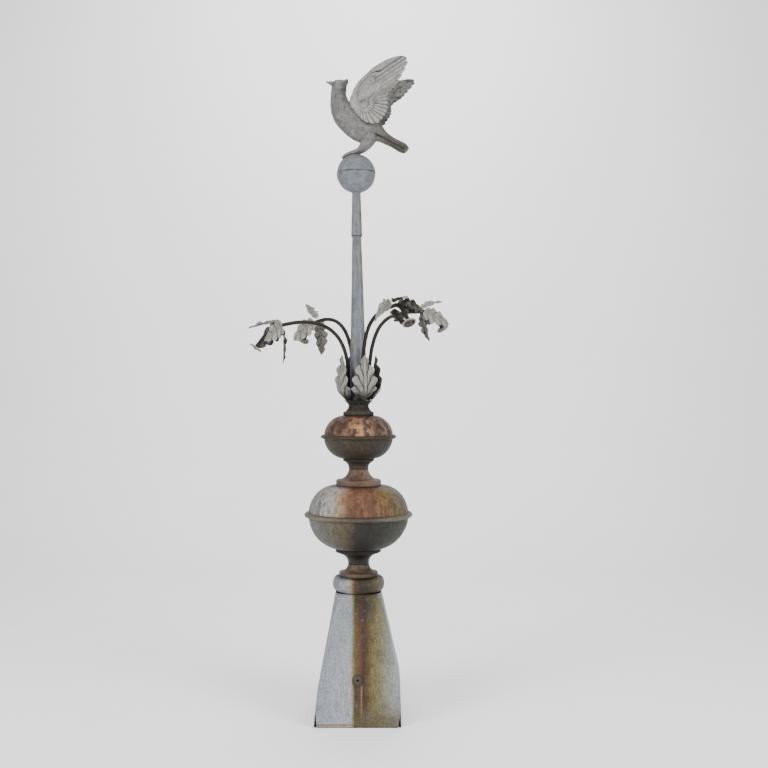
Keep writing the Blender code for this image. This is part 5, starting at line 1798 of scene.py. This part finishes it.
BUTTON_SHAPE = ((0.0, 0.16), (0.3, 0.0), (0.36, 0.0), (0.7, 0.06), (0.93, 0.16), (1.0, 0.4), (0.97, 0.64),
                (0.88, 0.74), (0.76, 0.62), (0.6, 0.42), (0.46, 0.4), (0.36, 0.56), (0.28, 0.86), (0.16, 1.0),
                (0.0, 1.0))


@dataclass(frozen=True)
class Spray:
    """One stem with its leaves and button; heights are above the cup."""

    azimuth: float
    swing: float
    hub_reach: float
    hub_height: float
    hub_slope: float
    knee: float
    bud_reach: float
    bud_drop: float
    leaves: tuple[SprayLeaf, ...]
    radius: float = 4.9 * MM
    tip_radius: float = 5.4 * MM
    leaf_thickness: float = 1.8 * MM
    leaf_rows: int = 69
    leaf_columns: int = 41
    leaf_fold: float = 0.22
    leaf_quilt: float = 1.3 * MM
    leaf_midrib: float = 0.8 * MM
    leaf_wave: float = 1.6 * MM
    leaf_uneven: float = 0.4 * MM
    leaf_width_least: float = 1.6 * MM
    shaft: float = 23 * MM
    upright: float = 86.5 * MM
    step_out: float = 2 * MM
    knee_out: float = 11 * MM
    lead: float = 85 * MM
    bow: float = 0.45
    button_radius: float = 18 * MM
    button_depth: float = 7.5 * MM
    button_sides: int = 84
    petals: int = 7
    arch_steps: int = 64
    tail_steps: int = 26

    @property
    def start_reach(self) -> float:
        """Distance of the stem's foot from the shaft's axis."""
        return self.shaft + 2 * FIT + self.radius

    def path(self, cup_top: float) -> Array:
        """Middle line: upright, arched to the hub on one cubic curve, then down to the button on another.

        Args:
            cup_top: Level of the cup's top.

        Returns:
            Points, swung sideways as they reach out.
        """
        slope = math.radians(self.hub_slope)
        heading = np.array([math.cos(slope), math.sin(slope)])
        start = np.array([self.start_reach, FIT])
        upright = np.array([self.start_reach + self.step_out, self.upright])
        hub = np.array([self.hub_reach, self.hub_height])
        end = hub + (self.bud_reach, -self.bud_drop)
        bow = hub + self.bow * self.bud_reach * heading
        arch = cubic(upright, upright * (1, 0) + (self.knee_out, self.knee), hub - self.lead * heading, hub,
                     self.arch_steps + 1)
        tail = cubic(hub, bow, (bow + end) / 2, end, self.tail_steps + 1)[1:]
        foot = start + (upright - start) * np.linspace(0, 1, 12)[:-1, None]
        flat = np.concatenate([foot, arch, tail])
        far = self.hub_reach + self.bud_reach - self.start_reach
        reach_share = np.maximum(0, flat[:, 0] - self.start_reach) / far
        outward, _ = azimuth_frame(self.azimuth + self.swing * reach_share)
        return outward * flat[:, :1] + np.array([0, 0, 1]) * (flat[:, 1:] + cup_top)

    def build(self, number: int, cup_top: float, materials: tuple[Material, ...]) -> None:
        """Build the stem, its leaves and its button.

        Args:
            number: Which spray it is.
            cup_top: Level of the cup's top.
            materials: Finishes of the stem, the leaves and the button.
        """
        points = self.path(cup_top)
        stem, button = PieceMesh(), PieceMesh()
        self.add_stem(stem, points)
        node = f"spray_stem_{number}"
        stem.dress(node, f"{node}_rod", materials[0], "stem_iron")
        for index, leaf in enumerate(self.leaves, 1):
            node = f"spray_leaf_{number}_{index}"
            piece = PieceMesh()
            self.add_leaf(piece, points, leaf, 10 * number + index)
            piece.dress(node, f"{node}_cast", materials[1], "leaf_zinc", 70)
        self.add_button(button, points)
        node = f"spray_button_{number}"
        button.dress(node, f"{node}_cast", materials[2], "leaf_zinc", 60)

    def add_stem(self, piece: PieceMesh, points: Array) -> None:
        """Round rod along the middle line, thickened a little past the hub."""
        along = unit(np.gradient(points, axis=0))
        _, across = azimuth_frame(self.azimuth)
        side = unit(across - along * (along @ across)[:, None])
        up = np.cross(along, side)
        hub = len(points) - self.tail_steps
        past = smooth(np.arange(len(points)), hub - 4, hub + 3)[:, None]
        rings = hoops(points, side, up, self.radius + (self.tip_radius - self.radius) * past, 18)
        rings = rings + 0.15 * MM * ripple(rings, 12 * MM, 3)[..., None] * unit(rings - points[:, None])
        piece.add_tube(rings)

    def add_leaf(self, piece: PieceMesh, points: Array, leaf: SprayLeaf, seed: int) -> None:
        """Leaf: its middle line opens from the stem and droops, and lobes and veins spread from it.

        Args:
            piece: Mesh that takes the leaf.
            points: The stem's middle line.
            leaf: The leaf's place and size.
            seed: Fixes its unevenness.
        """
        hub_index = len(points) - 1 - self.tail_steps
        hub = points[hub_index]
        along = unit(points[hub_index + 6] - points[hub_index - 6])
        _, across = azimuth_frame(self.azimuth + self.swing)
        across = unit(across - along * (across @ along))
        top = unit(np.cross(along, across))
        turn = math.radians(leaf.turn)
        spoke = top * math.cos(turn) + across * math.sin(turn)
        edge = unit(np.cross(spoke, along))
        share = np.linspace(0, 1, self.leaf_rows)[:, None]
        opening = np.radians(leaf.opening + (leaf.closing - leaf.opening) * share)
        heading = along * np.cos(opening) + spoke * np.sin(opening)
        step = leaf.length / (self.leaf_rows - 1)
        middle = hub + spoke * (self.tip_radius + 2 * FIT + self.leaf_thickness)
        middle = middle + np.concatenate([np.zeros((1, 3)), np.cumsum(heading[:-1] * step, axis=0)])
        middle = middle - np.array([0, 0, 1]) * leaf.droop * leaf.length * share**2
        normal = np.cross(heading, edge)
        lateral = np.linspace(-1, 1, self.leaf_columns)[None, :]
        offset = lateral * self.leaf_width(share, leaf)
        grid = (middle[:, None] + edge * offset[..., None]
                + normal[:, None] * (self.leaf_fold * np.abs(offset))[..., None])
        normals = surface_normals(grid, normal[:, None])
        vein_share = share + 0.13 * (1 - np.abs(lateral)) ** 1.3
        quilt = np.abs(np.sin(4 * np.pi * vein_share))
        away = smooth(np.abs(offset), 1 * MM, 4 * MM)
        fade = smooth(share, 0.05, 0.2) * (1 - smooth(share, 0.93, 1.0))
        relief = (self.leaf_quilt * (quilt - 0.6) * away + self.leaf_midrib * hump(offset, 0.0, 1.4 * MM)
                  + self.leaf_wave * np.abs(lateral) ** 3 * np.sin(5 * np.pi * share + seed)) * fade
        relief = relief + self.leaf_uneven * ripple(grid, 20 * MM, seed)
        # Painted shade in the quilting's valleys and beside the midrib, plus the leaf's own extra painted
        # shade.
        groove = (1 - smooth(quilt, 0.0, 0.4)) * away + 0.8 * hump(np.abs(offset), 2.6 * MM, 0.9 * MM)
        half = 0.5 * self.leaf_thickness * (1 - 0.6 * np.abs(lateral) ** 8) * np.ones_like(share)
        cavity = np.clip(0.8 * groove * fade + leaf.shade_and_grime, 0, 1)
        piece.add_plate(grid, normals, half + relief, half - 0.9 * relief, cavity, leaf.back_shade)

    def leaf_width(self, share: Array, leaf: SprayLeaf) -> Array:
        """Half-width: sin(pi t^0.72)^0.7, cut into lobes and finely toothed."""
        envelope = np.maximum(np.sin(np.pi * np.clip(share, 0, 1) ** 0.72), 0.0) ** 0.7
        lobes = 0.62 + 0.36 * np.abs(np.sin(4 * np.pi * share)) ** 0.8
        teeth = 0.03 * np.abs(np.sin(12 * np.pi * share))
        return np.maximum(self.leaf_width_least, leaf.half_width * envelope * (lobes + teeth))

    def add_button(self, piece: PieceMesh, points: Array) -> None:
        """Button flower: a turned dish with a scalloped, rolled rim, a boss and a hollow back."""
        axis = unit(points[-1] - points[-2])
        shape = np.array(BUTTON_SHAPE) * (self.button_radius, self.button_depth)
        profile = soften(shape, 1 * MM)
        angle = circle(self.button_sides)[None, :]
        radius = profile[:, :1] / self.button_radius
        petal = np.abs(np.sin(0.5 * self.petals * angle))
        scallop = 1 - 0.1 * (1 - petal**0.6) * smooth(radius, 0.5, 1.0)
        rings = lathe(profile, self.button_sides) * scallop[..., None] ** np.array([1, 1, 0])
        front = (np.arange(len(profile)) > int(np.argmax(profile[:, 0])))[:, None]
        inner = front * (1 - smooth(radius, 0.7, 0.84)) * (1 - 0.4 * (1 - smooth(radius, 0.2, 0.34)))
        rings = aim(rings, points[-1] + axis * 2 * FIT, axis)
        # Painted shade inside the dish and in the notches between petals.
        cavity = np.clip(1.5 * inner + 0.6 * (1 - petal**0.4) * smooth(radius, 0.55, 0.9), 0, 1)
        piece.add_turned(rings, cavity[1:-1])


SPRAYS = (
    Spray(-63, -9, 205 * MM, 190.5 * MM, -16, 196.5 * MM, 62 * MM, 54 * MM, (
        SprayLeaf(12, 16, 4, 0.06, 84 * MM, 20 * MM, shade_and_grime=0.5),
        SprayLeaf(262, 52, 26, 0.42, 76 * MM, 28 * MM),
        SprayLeaf(98, 48, 22, 0.25, 66 * MM, 23 * MM),
        SprayLeaf(182, 80, 66, 0.18, 76 * MM, 22 * MM),
    )),
    Spray(22, 6, 205 * MM, 232.5 * MM, 8, 212.5 * MM, 60 * MM, 42 * MM, (
        SprayLeaf(350, 16, 0, 0.10, 64 * MM, 20 * MM),
        SprayLeaf(276, 84, 62, 0.80, 62 * MM, 20 * MM, back_shade=0.1),
        SprayLeaf(84, 42, 14, 0.34, 70 * MM, 21 * MM),
        SprayLeaf(178, 56, 30, 0.05, 60 * MM, 20 * MM, shade_and_grime=0.4),
    )),
    Spray(112, 6, 186 * MM, 235.5 * MM, 4, 230.5 * MM, 66 * MM, 40 * MM, (
        SprayLeaf(346, 36, 10, 0.08, 66 * MM, 21 * MM),
        SprayLeaf(98, 44, 22, 0.22, 82 * MM, 26 * MM),
        SprayLeaf(252, 50, 24, 0.28, 70 * MM, 22 * MM),
        SprayLeaf(176, 74, 58, 0.12, 68 * MM, 20 * MM, shade_and_grime=0.6),
    )),
    Spray(-149, 5, 205 * MM, 214.5 * MM, -10, 200.5 * MM, 64 * MM, 46 * MM, (
        SprayLeaf(14, 60, 66, 0.00, 56 * MM, 16 * MM),
        SprayLeaf(112, 54, 30, 0.34, 68 * MM, 24 * MM),
        SprayLeaf(250, 50, 26, 0.30, 70 * MM, 23 * MM),
        SprayLeaf(190, 84, 68, 0.10, 78 * MM, 24 * MM, shade_and_grime=0.55),
    )),
)


@dataclass(frozen=True)
class Sprays:
    """The four sprays with their shared finishes."""

    sprays: tuple[Spray, ...] = SPRAYS

    def build(self) -> None:
        """Build every spray."""
        cup_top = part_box("calyx_cup")[1].z
        materials = tuple(finish.make("spray_stem_1") for finish in (STEM_IRON, SPRAY_ZINC, BUTTON_ZINC))
        for number, spray in enumerate(self.sprays, 1):
            spray.build(number, cup_top, materials)


MIDDLE: Spot = (0.0, 0.0, 0.85)
WALL: Spot = (0.0, 3.3, 1.7)


@dataclass(frozen=True)
class Studio:
    """Pale cove, soft lights from both sides and the camera."""

    half_width: float = 5.5
    front: float = -6.0
    back: float = 3.3
    bend: float = 1.1
    height: float = 4.2
    wall: Colour = tint(0xf7f5f6)
    wall_cloud: Colour = tint(0xf3f2f3)
    camera_place: Spot = (0.066, -2.763, 0.856)
    lens: float = 50.0
    light_power: float = 112.0
    lights: tuple[tuple[str, Spot, float, float, Spot], ...] = (
        ("light_left", (-2.2, -2.3, 1.5), 1.0, 1.5, MIDDLE),
        ("light_right", (2.3, -2.2, 1.5), 1.0, 1.5, MIDDLE),
        ("light_top", (0.0, -0.9, 3.4), 0.6, 2.4, MIDDLE),
        ("light_wall", (0.0, 1.4, 3.4), 0.8, 2.0, WALL))
    sky: Colour = tint(0xe8eaee)
    sky_strength: float = 0.62

    def build(self) -> None:
        """Build the cove, the lights and the camera."""
        self.build_cove()
        for name, place, share, size, target in self.lights:
            self.add_light(name, place, share * self.light_power, size, target)
        world = bpy.data.worlds.new("soft_sky")
        world.use_nodes = True
        background = world.node_tree.nodes["Background"]
        background.inputs["Color"].default_value = (*self.sky, 1.0)
        background.inputs["Strength"].default_value = self.sky_strength
        bpy.context.scene.world = world
        camera = bpy.data.cameras.new("camera")
        camera.lens = self.lens
        holder = bpy.data.objects.new("camera", camera)
        holder.location = self.camera_place
        holder.rotation_euler = (0.5 * math.pi, 0.0, 0.0)
        bpy.context.scene.collection.objects.link(holder)
        bpy.context.scene.camera = holder

    def build_cove(self) -> None:
        """Floor that bends up into a wall: a profile of straight, quarter circle, straight."""
        angle = np.linspace(0, 0.5 * np.pi, 24)
        curve = self.bend * columns(np.sin(angle) - 1, 1 - np.cos(angle)) + (self.back, 0.0)
        profile = np.concatenate([[(self.front, 0.0)], curve, [(self.back, self.height)]])
        across = np.linspace(-self.half_width, self.half_width, 9)[None, :]
        points = columns(across, profile[:, :1], profile[:, 1:])
        graph = Graph("pale_cove")
        cloud = graph.noise(0.5, 3.0)
        colour = graph.mix(cloud, self.wall, self.wall_cloud)
        material = graph.finish(colour, cloud * 0.1 + 0.75, 0.0, graph.noise(0.004, 1.0), 0.02 * MM)
        piece = PieceMesh()
        piece.add_quads(piece.add_points(points))
        piece.build("cove", material)

    def add_light(self, name: str, place: Spot, power: float, size: float, target: Spot) -> None:
        """Square soft light, hidden from the camera.

        Args:
            name: Name of the light.
            place: Where it stands.
            power: Its power in watts.
            size: Its side.
            target: Point that it faces.
        """
        light = bpy.data.lights.new(name, "AREA")
        light.energy, light.size = power, size
        holder = bpy.data.objects.new(name, light)
        holder.location = place
        holder.visible_camera = False
        aimed = Vector(target) - Vector(place)
        holder.rotation_euler = aimed.to_track_quat("-Z", "Y").to_euler()
        bpy.context.scene.collection.objects.link(holder)


def main() -> None:
    """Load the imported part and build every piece."""
    logging.basicConfig(level=logging.INFO, format="%(name)s %(message)s")
    for obj in list(bpy.data.objects):
        bpy.data.objects.remove(obj, do_unlink=True)
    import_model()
    for assembly in (Skirt(), Stack(), Calyx(), Mast(), Bird(), Sprays(), Studio()):
        assembly.build()
        LOG.info("%s built", type(assembly).__name__)


if __name__ == "__main__":
    main()
